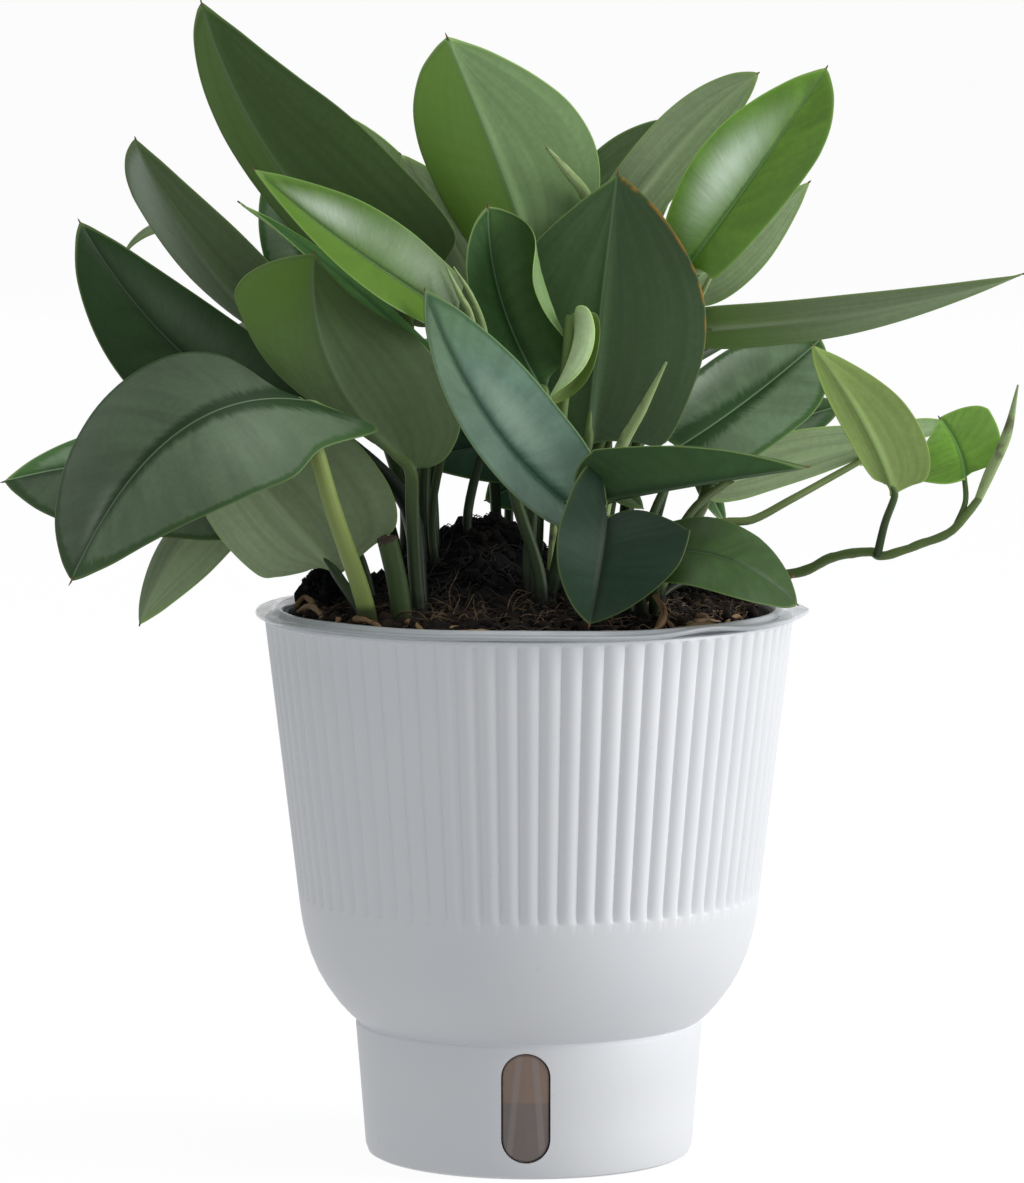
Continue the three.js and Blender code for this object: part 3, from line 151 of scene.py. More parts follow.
# Shoots: name, crown as x, y and radius, leaves, and bare stems as kind, path and radii, as the packed
# solids have them
SHOOTS = [
    ("front_left", [-45.5, -39.5, 7], [
        row([[-45.5, -41, 158], [-48.5, -45.5, 172], [-56, -52, 195], [-61, -54, 213]], [2.8, 2.2], [-64, -50, 227],
            [-101, -62, 218], [-131, -58, 176], [-0.15, -0.72, 0.68], [31, 36], "silver pale", fold=[5, 0],
            curl=[-0.35, -0.5], lobe=[0.22, -0.15], hook=[1, 0], belly=[0.38, 0.58], full=[0.6, 1],
            sheen=[[1, 0.86, 0.12, 0.1, 0.16, 0.45], [0, 0.3, 0.5, 0.2, 0.4, 0.12]], stalk_tint=0.8, light=[1, 0.75]),
        row([[-46, -38, 158], [-49, -35.5, 165]], [1.8, 1.5], [-55, -30, 175], [-76, -26, 199], [-98, -24, 223],
            [0.1, 0.95, 0.3], [29, 24], "silver pale", fold=8, curl=0.2, lobe=[0, -0.13], belly=[0.35, 0.42],
            light=[1.3, 1.7]),
    ], []),
    ("left", [-33, -31.5, 8.5], [
        row([[-31.5, -29, 157], [-32.3, -25.5, 172], [-34, -18.5, 190], [-41, -12, 201]], [2.8, 2.4], [-56, -6, 214],
            [-98, 0, 234], [-132, 2, 276], [-0.3, -0.75, 0.6], [20, 18], "dark grey", fold=[10, 15], lobe=0.02,
            full=[1, 0.6], sheen=[[1, 0.55, 0.5, 0.3, 0.3, 0.1]], light=[1, 1.1], stalk_tint=-0.7),
        row([[-31, -32, 156], [-33, -31, 175], [-34, -30, 195]], [2.2, 1.9], [-35, -30, 206], [-57, -38, 236],
            [-62, -30, 268], [-0.25, 0.93, 0.25], [28, 25], "silver grey", fold=[8, 12], curl=[0.2, 0.4],
            lobe=[0.08, -0.42], belly=[0.3, 0.86], full=[0.1, 1],
            sheen=[[1, 0.9, 0.6, 0.35, 0.8, -0.9], [0, 0.9, 0.5, 0.3, 0.8, -0.3]], light=[1, 1.1]),
    ], [
        ("cut", [[-36, -35, 154.5], [-38, -36, 172], [-41, -38, 186]], [3, 3]),
    ]),
    ("low_left", [-46, -7.5, 6.4], [
        row([[-44, -10, 156], [-51, -5, 180], [-65, 2, 199]], [1.8, 1.4], [-80, 4, 200], [-116, 4, 205],
            [-155, 6, 199], [-0.1, -0.75, 0.65], [27, 14], "silver grey", fold=8, lobe=0.03, full=[1, 0.4],
            light=[0.8, 2.2]),
        row([[-46.5, -6.5, 159], [-57, 5, 190], [-70, 11, 203]], [1.8, 1.4], [-84, 10, 196], [-102, 6, 181],
            [-115, 2, 157], [0.3, 0.8, -0.4], 12, "dark pale", fold=25, curl=0.2, lobe=0.1, light=[1.1, 1.9]),
    ], []),
    ("tall_left", [-29, 6.5, 6.4], [
        row([[-32.3, 6, 168], [-35, 8, 185], [-43, 12, 212]], [2, 1.6], [-55, 12, 228], [-90, 14, 258],
            [-116, 12, 300], [0.25, 0.9, 0.3], [14, 12], "dark grey", fold=[5, 10], curl=0.3, lobe=[-0.1, -0.33],
            belly=[0.4, 0.82], full=[0.4, 1], sheen=[[1, 0.9, 0.7, 0.3, 0.5, 0.6]], light=0.9),
        row([[-43, 17, 226], [-56, 21, 240], [-72, 29, 254]], [1.2, 1], [-90, 34, 262], [-106, 34, 273],
            [-121, 34, 265], [0, -0.3, 0.95], 5, "pale pale", lobe=0.02),
        row([[-25, 4, 169], [-28, 2, 178], [-28, 2, 196]], [1.5, 1.2], [-20, 2, 226], [-52, -4, 257], [-85, -4, 282],
            [0.62, -0.25, 0.72], 9, "dark grey", lobe=0.03, full=0, light=2.4),
        row([[-31, 8.5, 170], [-33, 13, 192], [-42, 17, 225]], [1.5, 1.3], [-52, 20, 244], [-66, 22, 266],
            [-77, 24, 290], [-0.3, -0.9, 0.2], 13, "silver grey", light=2.1),
        row([[-27, 8.5, 172], [-28, 12, 187], [-28, 16, 208], [-22, 22, 240]], [1.5, 1.3], [-22, 32, 261],
            [-42, 32, 284], [-60, 32, 307], [0.2, 0.9, 0.3], 11, "silver pale", full=1, light=3.5),
        row([[-30, 3, 166], [-31, 7, 200], [-27, 10, 232]], [2, 1.7], [-32, 8, 256], [-71, 10, 289], [-96, 4, 340],
            [0.1, 0.93, 0.35], [27, 14], "dark deep", fold=[5, 20], curl=0.2, lobe=0.03, belly=[0.4, 0.6],
            full=[0.3, 1], glow=[0, 0.3], light=[1.1, 1.5]),
    ], []),
    ("bright", [3, -23, 2.8], [
        row([[3, -23, 158], [3, -23, 174], [-4, -20, 197], [-8, -20, 220]], [2, 1.6], [-19, -20, 248],
            [-50, -34, 269], [-79, -44, 293], [-0.1, -0.7, 0.7], 15, "young lime", fold=20, curl=0, lobe=-0.05,
            full=0.3, glow=[0.6, 0.1], sheen=[[1, 0.68, 0.45, 0.16, 0.3, 0.9], [1, 0.25, 0.5, 0.3, 0.45, 0.45]]),
    ], [
        ("furled", [[-14, -20, 237], [-17, -25, 250], [-20, -27, 256], [-24, -26, 264]], [0.8, 1.1, 1, 0.3]),
        ("furled", [[-11, -20, 231], [-13, -22, 246], [-17, -23, 256], [-22, -23, 264]], [0.8, 0.9, 0.9, 0.3]),
    ]),
    ("behind_bright", [-17, 10, 3], [
        row([[-17, 10, 176.5], [-18, 12, 190], [-12, 16, 215]], [1.5, 1.3], [-6, 20, 239], [-20, 20, 265],
            [-38, 22, 295], [-0.1, -0.95, 0.2], 13, "pale grey", lobe=0.03, light=[1.3, 2.2]),
    ], []),
    ("broad_centre", [2.5, -12, 5.5], [
        row([[0, -12, 161.5], [0, -12, 180], [2, -12, 205]], [2, 1.6], [5, -14, 226], [-8, -10, 253], [-12, -14, 281],
            [0.35, -0.9, 0.1], [10, 26], "dark grey", fold=[5, -15], curl=[0.2, 3.1], lobe=-0.1, belly=[0.55, 0.5],
            full=0.9, glow=[0, 0.1], light=[2.1, 1.9]),
        row([[4.3, -12, 161], [8, -12, 175], [12, -9, 195]], [2, 1.7], [17, -8, 211], [21, -2, 250], [26, 2, 290],
            [0.03, 0.98, 0.15], 33, "silver moss", fold=10, curl=0.2, lobe=-0.03, belly=[0.44, 0.4], full=[0.5, 0.1],
            burn=-1, light=[0.9, 1.6]),
    ], []),
    ("tall_centre", [4, 4, 5], [
        row([[2, 6, 170.5], [3, 8, 205], [3, 11, 240]], [2, 1.7], [1, 10, 266], [-9, 7, 294], [-24, 1, 330],
            [-0.05, 0.97, 0.2], [29, 24], "silver grey", fold=[10, 20], curl=[0.2, 0.3], lobe=-0.06,
            belly=[0.42, 0.56], full=[0.3, 1], glow=[0, 0.9], light=2.1),
    ], [
        ("furled",
            [[6, 2, 166.5], [9, 6, 200], [16, 10, 240], [20, 12, 270], [17, 10, 283], [11, 4, 291], [5, 0, 298]],
            [1.4, 1.3, 1.2, 1.5, 2, 1.5, 0.4]),
    ]),
    ("front_centre", [14, -20, 6.6], [
        row([[12, -18, 158], [10, -19, 190], [9, -21, 215], [11, -21.5, 235]], [2, 1.7], [14, -20, 249],
            [12, -24, 237], [4.5, -27, 223.5], [0.9, -0.25, 0.3], 9, "lime pale", fold=0, curl=2.5, lobe=0.1,
            light=[0.9, 2.5]),
        row([[14, -22.5, 159], [13, -28, 173], [13, -34, 188]], [1.8, 1.5], [10, -38, 197], [-13, -43, 223],
            [-30, -38, 258], [0.2, -0.95, 0.12], [13, 18], "teal pale", fold=[40, 12], curl=0, lobe=0.03,
            sheen=[[1, 0.45, 0.35, 0.3, 0.22, 0.3], [0, 0.9, 0.5, 0.35, 2, -0.3], [1, 0.9, 0.5, 0.25, 2, -0.3]],
            light=[0.8, 1.6]),
    ], [
        ("furled",
            [[16.6, -17.6, 159], [20, -15, 175], [24, -15, 200], [27, -16, 211], [33, -17, 222], [40, -18, 236]],
            [1.4, 1.3, 1.4, 2, 1.6, 0.4]),
    ]),
    ("front_right", [33, -36, 6.3], [
        row([[33, -37.5, 158], [31, -45.5, 175], [26, -55, 188]], [1.8, 1.3], [22, -62, 194], [20, -70, 180],
            [17, -72, 165], [0, -0.85, 0.5], [24, 15], "cold grey", fold=[5, 30], curl=[-0.3, 0], lobe=[0.1, 0.5],
            belly=[0.04, 0.3], full=[0.35, 0.6], light=[0.6, 0.7]),
        row([[36, -34, 154.5], [36, -40, 168], [36, -46, 178]], [1.6, 1.3], [35, -52, 183], [56, -56, 182],
            [77, -46, 168], [0, -0.6, 0.8], [17, 13.5], "green grey", fold=5, belly=[0.68, 0.4], full=1,
            stalk_tint=0.3, light=0.8),
        row([[30, -34, 156], [26, -40, 178], [21.5, -48, 192]], [1.8, 1.4], [20, -52, 199], [48, -56, 204],
            [80, -50, 208], [0, 0.05, 1], [17, 15], "dark dark", fold=[42, 68], curl=0, lobe=[0.05, 0.1],
            belly=[0.35, 0.08], full=0, light=[0.9, 1.6]),
    ], []),
    ("low_right", [33, -2, 8.8], [
        row([[29, -2, 158], [31, 0, 172], [37, 6, 190], [42, 11, 200]], [1.5, 1.2], [45, 14, 209], [66, 20, 223],
            [87, 25, 240], [0.1, -0.9, 0.4], 16, "silver grey", lobe=0.06, belly=[0.4, 0.6], full=1,
            sheen=[[0, 0.3, 0.9, 0.35, 0.25, 0.9]], light=[1.7, 1.8]),
        row([[33, -4, 158], [38, -2, 172], [46, 8, 183], [52, 25, 191]], [2.2, 1.9], [56, 31, 206], [74, 37, 213],
            [94, 41, 219], [0, -0.8, 0.6], 9, "silver grey", lobe=0.03, full=1, stalk_tint=0.3, light=1.2),
        row([[34, 0, 158], [38, 4, 172], [48, 14, 189]], [1.5, 1.2], [57, 24, 197], [84, 26, 205], [112, 25, 211],
            [-0.1, 0.85, 0.5], [9, 11], "green pale", lobe=0.08, belly=0.2, stalk_tint=0.3, light=2.6),
        row([[36.5, -6.2, 157], [39, -7, 169], [46, -3, 180], [56, 0, 187], [66, 3, 188], [77, 10, 193],
             [88, 20, 198]],
            [1.5, 1], [99, 30, 204], [114, 30, 212], [129, 30, 213], [0, 0.85, 0.5], 4, "dark pale", lobe=0.03,
            stalk_tint=0.45, light=3),
        row([[38, -2, 158], [39, -1, 165], [44, 4, 168.5]], [1.2, 1], [52, 10, 170], [59, 10, 169], [66, 10, 165],
            [0, -0.5, 0.85], 3, "pale pale"),
        row([[32, 1.8, 159], [33.5, 5, 169], [38, 18, 186], [44, 32, 203]], [1.3, 1.1], [50, 34, 204], [54, 34, 194],
            [59, 34, 184], [0.5, -0.8, 0.2], 4, "silver grey", light=2),
    ], []),
    ("tall_right", [15.5, 10.5, 7.6], [
        row([[20, 10, 162], [26, 15, 200], [37, 16, 230]], [1.8, 1.4], [46, 16, 244], [95, 8, 249], [145, -4, 261],
            [0, 0.75, 0.66], [11, 8], "dark pale", fold=5, curl=0, lobe=0.03, belly=0.2, full=0.2,
            sheen=[[0, 0, 0.5, 0.3, 2, -0.8], [1, 0, 0.5, 0.3, 2, -0.8]], light=[1.6, 1.3]),
        row([[16, 14, 164], [22, 21, 205], [36, 24, 240]], [1.5, 1.2], [47, 20, 257], [64, 20, 271], [83, 18, 287],
            [-0.2, 0.9, 0.3], [12, 7], "silver pale", fold=[5, 50], lobe=0.03, belly=0.3, full=0.3, light=1.9),
        row([[14, 7, 164], [19, 7, 205], [33, 8, 235]], [2, 1.6], [46, 12, 261], [66, 6, 289], [87, 0, 321],
            [-0.25, -0.9, 0.3], [20, 13.5], "young pale", fold=[0, 10], lobe=-0.06, belly=[0.42, 0.66], full=[0.4, 1],
            sheen=[[0, 0.46, 0.42, 0.24, 0.3, 0.85]], light=[2.3, 1.8]),
        row([[12, 13, 166.5], [15, 21, 200], [19, 26, 240]], [1.8, 1.4], [24, 26, 271], [46, 26, 299], [68, 24, 319],
            [0.2, 0.9, 0.35], [9, 10], "dark pale", lobe=0.03, full=0.8, light=[1.3, 1.4]),
        row([[11, 10, 166.5], [9, 24, 220]], [1.5, 1.2], [14, 34, 279], [28, 34, 292], [42, 34, 305], [0.2, 0.9, 0.3],
            8, "dark grey", lobe=0.03, light=1.6),
        row([[19.2, 13.4, 163], [22, 16, 180]], [1.4, 1.2], [23.4, 16.6, 199.6], [28, 18, 195], [34, 18, 190],
            [0.1, -0.85, 0.4], 4, "grey grey", lobe=0.03, light=1.3),
    ], [
        ("furled", [[46, 15, 245], [50, 12, 252], [53, 11, 258], [55, 11, 262]], [0.8, 0.9, 0.8, 0.3]),
    ]),
    ("trailing", [42, 22, 5], [
        row([[103, 6, 177], [105, 2, 187]], [1.3, 1.1], [107, -4, 196], [98, -8, 217], [83, -4, 240],
            [-0.4, 0.85, 0.2], [15, 6], "young lime", fold=[5, 15], lobe=[0, -0.12], belly=[0.3, 0.5], full=[0.3, 1],
            light=[1.3, 1.6]),
        row([[126, 4, 186], [129, 6, 193]], [0.9, 0.8], [129, 8, 200], [127, 13, 209], [122, 18, 217], [0, -0.6, 0.8],
            [17, 14], "young young", fold=5, curl=[-0.4, 0], lobe=[0.1, -0.12], belly=[0.12, 0.75], full=[0.2, 1],
            light=[2.1, 1.7]),
    ], [
        ("runner",
            [[41, 22, 161], [45.5, 22, 168.5], [60, 20, 168.8], [80, 16, 171], [90, 12, 176], [101, 8, 178],
             [105, 6, 177], [117, 5, 181], [124, 4, 184], [128, 4, 188], [133, 6, 194]],
            [1.9, 1.4]),
        ("furled", [[133, 6, 194], [136, 6, 201], [141, 4, 213], [144, 2, 228]], [1.3, 1.8, 1.7, 0.3]),
        ("aerial", [[66, 11, 163], [70, 13, 165], [76, 15, 169], [80, 16, 171]], [0.8, 0.9]),
    ]),
    ("back_left", [-35.5, 26.5, 6.7], [
        row([[-38, 28, 163.5], [-37, 31, 190]], [1.8, 1.5], [-40, 30, 225], [-66, 52, 240], [-92, 70, 236],
            [-0.3, 0.4, 0.85], 17, "silver grey", lobe=0.03),
        row([[-34, 28.3, 168.5], [-31.5, 37.5, 192]], [1.8, 1.5], [-27, 43, 215], [-52, 66, 222], [-70, 98, 205],
            [-0.2, 0.5, 0.85], 18, "silver grey", lobe=0.03),
        row([[-38, 23, 164.5], [-40, 24, 180]], [1.6, 1.3], [-44, 27, 196], [-60, 40, 201], [-82, 56, 188],
            [-0.2, 0.4, 0.85], 13, "dark grey", lobe=0.03),
        row([[-33, 24, 168.5], [-33, 22, 200]], [1.8, 1.5], [-36, 24, 245], [-50, 48, 270], [-62, 70, 298],
            [-0.3, 0.85, -0.3], 14, "silver grey", lobe=0.03),
    ], []),
    ("back_centre", [-6.5, 41.5, 5.6], [
        row([[-9, 41, 169], [-10, 42, 190]], [1.8, 1.5], [-12, 44, 228], [-18, 76, 236], [-26, 106, 222],
            [-0.1, 0.4, 0.9], 16, "teal grey", lobe=0.03),
        row([[-6, 44, 165.5], [-6, 47, 180]], [1.6, 1.3], [-6, 50, 198], [0, 82, 198], [6, 110, 180], [0, 0.4, 0.9],
            14, "dark grey", lobe=0.03),
        row([[-4.5, 39.5, 169], [1, 41, 202]], [1.8, 1.5], [2, 44, 250], [3, 64, 276], [0, 76, 302],
            [0.1, 0.85, -0.5], 16, "silver pale", lobe=0.03),
        row([[-5.4, 39.5, 168.5], [3, 38, 191], [12, 36, 200]], [1.5, 1.3], [14, 34, 207], [-8, 33, 208],
            [-34, 30, 203], [0, -0.9, 0.35], 13, "cold cold", lobe=0.03, light=1.3),
        row([[-5.5, 42, 168], [2.5, 45.5, 188]], [1.6, 1.4], [10, 46, 203], [-1, 46.5, 196], [-13, 46, 190],
            [0.1, -0.9, 0.3], 10, "cold cold", lobe=0.03, light=4.5),
    ], []),
    ("back_right", [24, 33, 7], [
        row([[20.5, 35.5, 160.5], [19, 40, 200]], [1.8, 1.5], [18, 40, 236], [28, 70, 250], [36, 102, 246],
            [0.2, 0.3, 0.9], 18, "silver grey", lobe=0.03),
        row([[28, 34, 158], [30, 35, 185]], [1.8, 1.4], [30, 34, 212], [52, 62, 220], [74, 92, 210], [0.2, 0.4, 0.85],
            15, "teal grey", lobe=0.03),
        row([[25, 36.5, 160], [24, 43, 185]], [1.6, 1.3], [24, 44, 210], [28, 76, 213], [34, 106, 200],
            [0.1, 0.4, 0.9], 14, "dark grey", lobe=0.03),
        row([[21, 31, 160.5], [19, 32, 215]], [1.8, 1.4], [20, 38, 258], [32, 56, 281], [43, 74, 298],
            [0.2, 0.85, -0.4], 11, "dark grey", lobe=0.03),
        row([[26, 29.5, 160.5], [31, 26, 205], [38, 26, 222]], [1.8, 1.4], [44, 32, 230], [64, 48, 239],
            [86, 62, 242], [0.1, 0.3, 0.95], 14, "silver pale", lobe=0.03),
    ], []),
]


def unit(v):
    """The same directions with length 1."""
    return v / (np.linalg.norm(v, axis=-1, keepdims=True) + 1e-12)


def both(value):
    """The values of a leaf's two halves, where one may stand for both."""
    return value if isinstance(value, (list, tuple)) else (value, value)


def smooth(low, high, x):
    k = np.clip((x - low) / (high - low), 0, 1)
    return k * k * (3 - 2 * k)


def spline(values, x):
    """Smooth curve through evenly spaced control values, at each x from 0 to 1."""
    p = np.asarray(values, float)
    p = np.vstack([2 * p[0] - p[1], p, 2 * p[-1] - p[-2]])
    place = np.clip(np.asarray(x, float), 0, 1) * (len(p) - 3)
    i = np.minimum(place.astype(int), len(p) - 4)
    f = (place - i)[..., None]
    a, b, c, d = p[i], p[i + 1], p[i + 2], p[i + 3]
    return 0.5 * (2 * b + (c - a) * f + (2 * a - 5 * b + 4 * c - d) * f**2 + (3 * b - a - 3 * c + d) * f**3)


# Materials

def colour(red, green, blue):
    """A colour given as it looks on a screen, 0 to 255, as the linear values that a shader takes."""
    return tuple(((c / 255 + 0.055) / 1.055) ** 2.4 if c > 10 else c / 255 / 12.92 for c in (red, green, blue)) + (1,)


class Paint:
    """A material and short calls for the nodes of its graph. Colours are given as they look on a screen."""

    def __init__(self, name, **values):
        self.material = bpy.data.materials.new(name)
        self.material.use_nodes = True
        self.tree = self.material.node_tree
        self.shader = self.tree.nodes["Principled BSDF"]
        self.set(**values)

    def put(self, socket, value):
        if isinstance(value, bpy.types.NodeSocket):
            self.tree.links.new(value, socket)
        else:
            socket.default_value = value

    def set(self, **values):
        for name, value in values.items():
            self.put(self.shader.inputs[name.replace("_", " ")], value)

    def add(self, kind, inputs, output=0, **settings):
        node = self.tree.nodes.new("ShaderNode" + kind)
        for name, value in settings.items():
            setattr(node, name, value)
        for name, value in inputs.items():
            self.put(node.inputs[name], value)
        return node.outputs[output]

    def math(self, operation, *values):
        return self.add("Math", dict(enumerate(values)), operation=operation)

    def times(self, first, second):
        return self.math("MULTIPLY", first, second)

    def plus(self, first, second):
        return self.math("ADD", first, second)

    def minus(self, first, second):
        return self.math("SUBTRACT", first, second)

    def mix(self, share, first, second, strength=None):
        """first where share is 0, second where it is 1 (or strength, where that is given)."""
        share = share if strength is None else self.times(share, strength)
        first, second = (v if isinstance(v, bpy.types.NodeSocket) else colour(*v) for v in (first, second))
        return self.add("Mix", {0: share, 6: first, 7: second}, output=2, data_type="RGBA")

    def step(self, low, high, value):
        return self.add("MapRange", {0: value, 1: low, 2: high}, interpolation_type="SMOOTHSTEP")

    def vector(self, x, y, z):
        return self.add("CombineXYZ", {0: x, 1: y, 2: z})

    def split(self, vector):
        return self.add("SeparateXYZ", {0: vector}).node.outputs

    def attribute(self, name):
        return self.split(self.add("Attribute", {}, output=1, attribute_name=name))

    def noise(self, vector, scale=1.0, detail=2.0, roughness=0.5):
        return self.add("TexNoise", {"Vector": vector, "Scale": scale, "Detail": detail, "Roughness": roughness})

    def place(self):
        return self.add("NewGeometry", {})

    def grain(self, scale, detail, roughness=0.5):
        return self.noise(self.place(), scale, detail, roughness)

    def streaks(self, first, first_scale, second, second_scale, lot, detail):
        """Noise drawn out along a leaf's or a stem's own directions, and different for each lot."""
        return self.noise(self.vector(self.times(first, first_scale), self.times(second, second_scale), lot),
                          detail=detail)

    def bump(self, height, strength, distance):
        normal = self.add("Bump", {"Strength": strength, "Distance": distance, "Height": height})
        self.put(self.shader.inputs["Normal"], normal)


# Tones: main colour, dark band at the midrib and its width, border and its width, gloss, and where they
# differ from the usual: how pale the midrib's line is (its own pale colour and a painted highlight), coat, and
# stripes along the leaf, as below it (under)
TONES = {
    "silver": dict(base=(100, 121, 92), middle=(36, 64, 30), band=2.9, border=(54, 88, 40), margin=1.8, gloss=0.38,
                   rib=0.5),
    "teal": dict(base=(102, 130, 112), middle=(44, 76, 58), band=1.3, border=(56, 92, 60), margin=0.8, gloss=0.36),
    "dark": dict(base=(42, 68, 34), middle=(24, 48, 20), band=1.6, border=(36, 66, 26), margin=0.8, gloss=0.34),
    "cold": dict(base=(42, 71, 49), middle=(26, 50, 34), band=1.6, border=(46, 72, 34), margin=0.8, gloss=0.36),
    "green": dict(base=(70, 98, 52), middle=(48, 76, 34), band=0.8, border=(66, 98, 44), margin=0.8, gloss=0.34),
    "young": dict(base=(84, 120, 40), middle=(60, 96, 30), band=0.8, border=(92, 134, 46), margin=0.6, gloss=0.24,
                  coat=0.2),
    "lime": dict(base=(120, 142, 78), middle=(104, 128, 64), band=0.6, border=(124, 148, 74), margin=0.7, gloss=0.42,
                 under=True),
    "deep": dict(base=(66, 92, 44), middle=(70, 96, 50), band=0.6, border=(56, 86, 36), margin=0.6, gloss=0.44,
                 under=True),
    "moss": dict(base=(62, 86, 52), middle=(54, 80, 46), band=1.0, border=(60, 88, 46), margin=0.6, gloss=0.44,
                 under=True),
    "grey": dict(base=(92, 114, 74), middle=(96, 118, 78), band=0.6, border=(84, 112, 58), margin=0.6, gloss=0.45,
                 under=True),
    "pale": dict(base=(126, 144, 106), middle=(130, 148, 108), band=0.6, border=(112, 138, 82), margin=0.6,
                 gloss=0.48, under=True),
}
LEAF_AND_BACKLIT_GREEN = (96, 132, 44)
PAINTED_GLOSS_WHITE = (190, 206, 184)
MIDRIB_PALE_AND_HIGHLIGHT = (150, 172, 138)
EDGE_PALE = (146, 168, 104)
SCORCHED = (156, 118, 44)


def leaf_material(tone):
    """Leaf surface: faint veins or stripes, a soft dark band at the midrib, a border and a thin light edge, with
    painted shade towards the base, painted gloss patches, and a brightness that is partly painted light and shade.
    """
    look = TONES[tone]
    paint = Paint("leaf_" + tone)
    start, side, lot = paint.attribute("vein")
    # The third value of reach: above 0 greener, partly painted light shining through the leaf; below 0 a painted
    # gloss highlight
    out, edge, glow = paint.attribute("reach")
    # The third value of mood: brightness, partly the leaf's own tone and partly painted light and shade
    along, burn, light = paint.attribute("mood")
    fine = paint.streaks(start, 130, side, 3, paint.plus(lot, 0), 3)
    broad = paint.streaks(start, 20, side, 1, paint.plus(lot, 7), 1)
    patch = paint.streaks(along, 3, side, 1.5, paint.plus(lot, 3), 2)
    feather = paint.streaks(start, 70, side, 4, paint.plus(lot, 0), 4)
    stripe = paint.streaks(side, 9, along, 0.8, paint.plus(lot, 5), 2)
    grain = paint.grain(520, 3, 0.6)
    base, under = np.array(look["base"]), look.get("under", False)
    deep, pale = base * 0.91, np.minimum(base * 1.07 + 2, 255)
    shade = paint.mix(paint.step(0.2, 0.8, stripe if under else broad), deep, pale)
    shade = paint.mix(paint.step(0.3, 0.7, fine), shade, pale, 0.1 if under else 0.3)
    shade = paint.mix(paint.step(0.3, 0.8, patch), shade, deep, 0.4)
    shade = paint.mix(paint.step(0.35, 0.7, grain), shade, base * 0.8, 0.25)
    # Painted shade towards the leaf's base, where other leaves shade it
    shade = paint.mix(paint.step(0.4, 0, along), shade, base * 0.7, 0.3)
    # Greener, partly painted light shining through the leaf; below 0, a painted gloss highlight
    shade = paint.mix(glow, shade, LEAF_AND_BACKLIT_GREEN, 0.9)
    shade = paint.mix(paint.times(glow, -1), shade, PAINTED_GLOSS_WHITE, paint.plus(0.65, paint.times(fine, 0.6)))
    # The band narrows to the tip, and its edge runs out along the side veins
    reach = paint.times(paint.minus(1.2, along), look["band"])
    reach = paint.times(reach, paint.plus(0.45, paint.times(feather, 0.9)))
    soft = 1.7 if look["band"] > 1 else 0.5
    band = paint.step(soft, -soft, paint.minus(out, paint.times(reach, 1.6)))
    shade = paint.mix(band, shade, look["middle"], 0.9)
    fringe = paint.times(paint.plus(0.4, feather), look["margin"])
    shade = paint.mix(paint.step(0.6, -0.6, paint.minus(edge, fringe)), shade, look["border"], 0.8)
    # Pale midrib line: partly the midrib's own colour, partly a painted highlight
    shade = paint.mix(paint.step(0.4, 0.1, out), shade, MIDRIB_PALE_AND_HIGHLIGHT, look.get("rib", 0.15))
    shade = paint.mix(paint.step(0.36, 0.1, edge), shade, EDGE_PALE, 0.3)
    scorch = paint.times(paint.step(0.9, 0.2, edge), paint.step(0.4, 0.62, broad))
    shade = paint.mix(burn, shade, SCORCHED, scorch)
    # Brightness: partly the leaf's own tone, partly painted light and shade
    level = paint.vector(light, light, light)
    shade = paint.add("Mix", {0: 1.0, 6: shade, 7: level}, output=2, data_type="RGBA", blend_type="MULTIPLY")
    paint.set(Base_Color=shade, Roughness=paint.plus(look["gloss"], paint.times(fine, 0.12)))
    paint.set(Coat_Weight=look.get("coat", 0.0), Coat_Roughness=0.14, Specular_IOR_Level=0.16)
    relief = paint.plus(paint.times(broad, 0.6), paint.times(grain, 0.25))
    paint.bump(paint.plus(paint.times(fine, 0.4), relief), 0.18, 0.0006)
    return paint.material


def stalk_material():
    """Petiole: green above, with painted shade that turns it nearly black near the soil, and long streaks."""
    paint = Paint("stalk_green", Roughness=0.42, Specular_IOR_Level=0.2)
    along, around, lot = paint.attribute("vein")
    low, _, tint = paint.attribute("reach")
    streak = paint.streaks(along, 3, around, 9, lot, 3)
    shade = paint.mix(streak, (78, 104, 54), (102, 130, 70))
    shade = paint.mix(tint, shade, (160, 178, 98))
    # Painted shade near the peat, less on paler stalks; then a greyer dark right at the peat
    shade = paint.mix(paint.step(1.1, 0.3, low), shade, (20, 38, 29), paint.minus(0.95, tint))
    shade = paint.mix(paint.step(0.13, 0.08, low), shade, (34, 40, 30), 0.8)
    paint.set(Base_Color=shade)
    paint.bump(streak, 0.2, 0.0004)
    return paint.material


def plain_grain(name, first, second, roughness):
    """Smooth plastic or dry tip: two close colours in a fine grain, with a matching relief."""
    paint = Paint(name)
    grain = paint.grain(900, 3)
    paint.set(Base_Color=paint.mix(paint.step(0.35, 0.65, grain), first, second))
    paint.set(Roughness=paint.plus(roughness - 0.05, paint.times(grain, 0.1)))
    paint.bump(grain, 0.1, 0.0002)
    return paint.material


def pot_material():
    """Matte white plastic with a faint speckle."""
    paint = Paint("pot_white_plastic")
    cloud = paint.grain(30, 3)
    dot = paint.add("TexVoronoi", {"Vector": paint.place(), "Scale": 90.0})
    speck = paint.minus(1, paint.step(0.03, 0.06, dot))
    shade = paint.mix(cloud, (233, 235, 238), (239, 240, 242))
    shade = paint.mix(speck, shade, (176, 178, 180), 0.12)
    paint.set(Base_Color=shade, Roughness=paint.plus(0.48, paint.times(cloud, 0.08)))
    paint.bump(paint.grain(1800, 2), 0.08, 0.0001)
    return paint.material


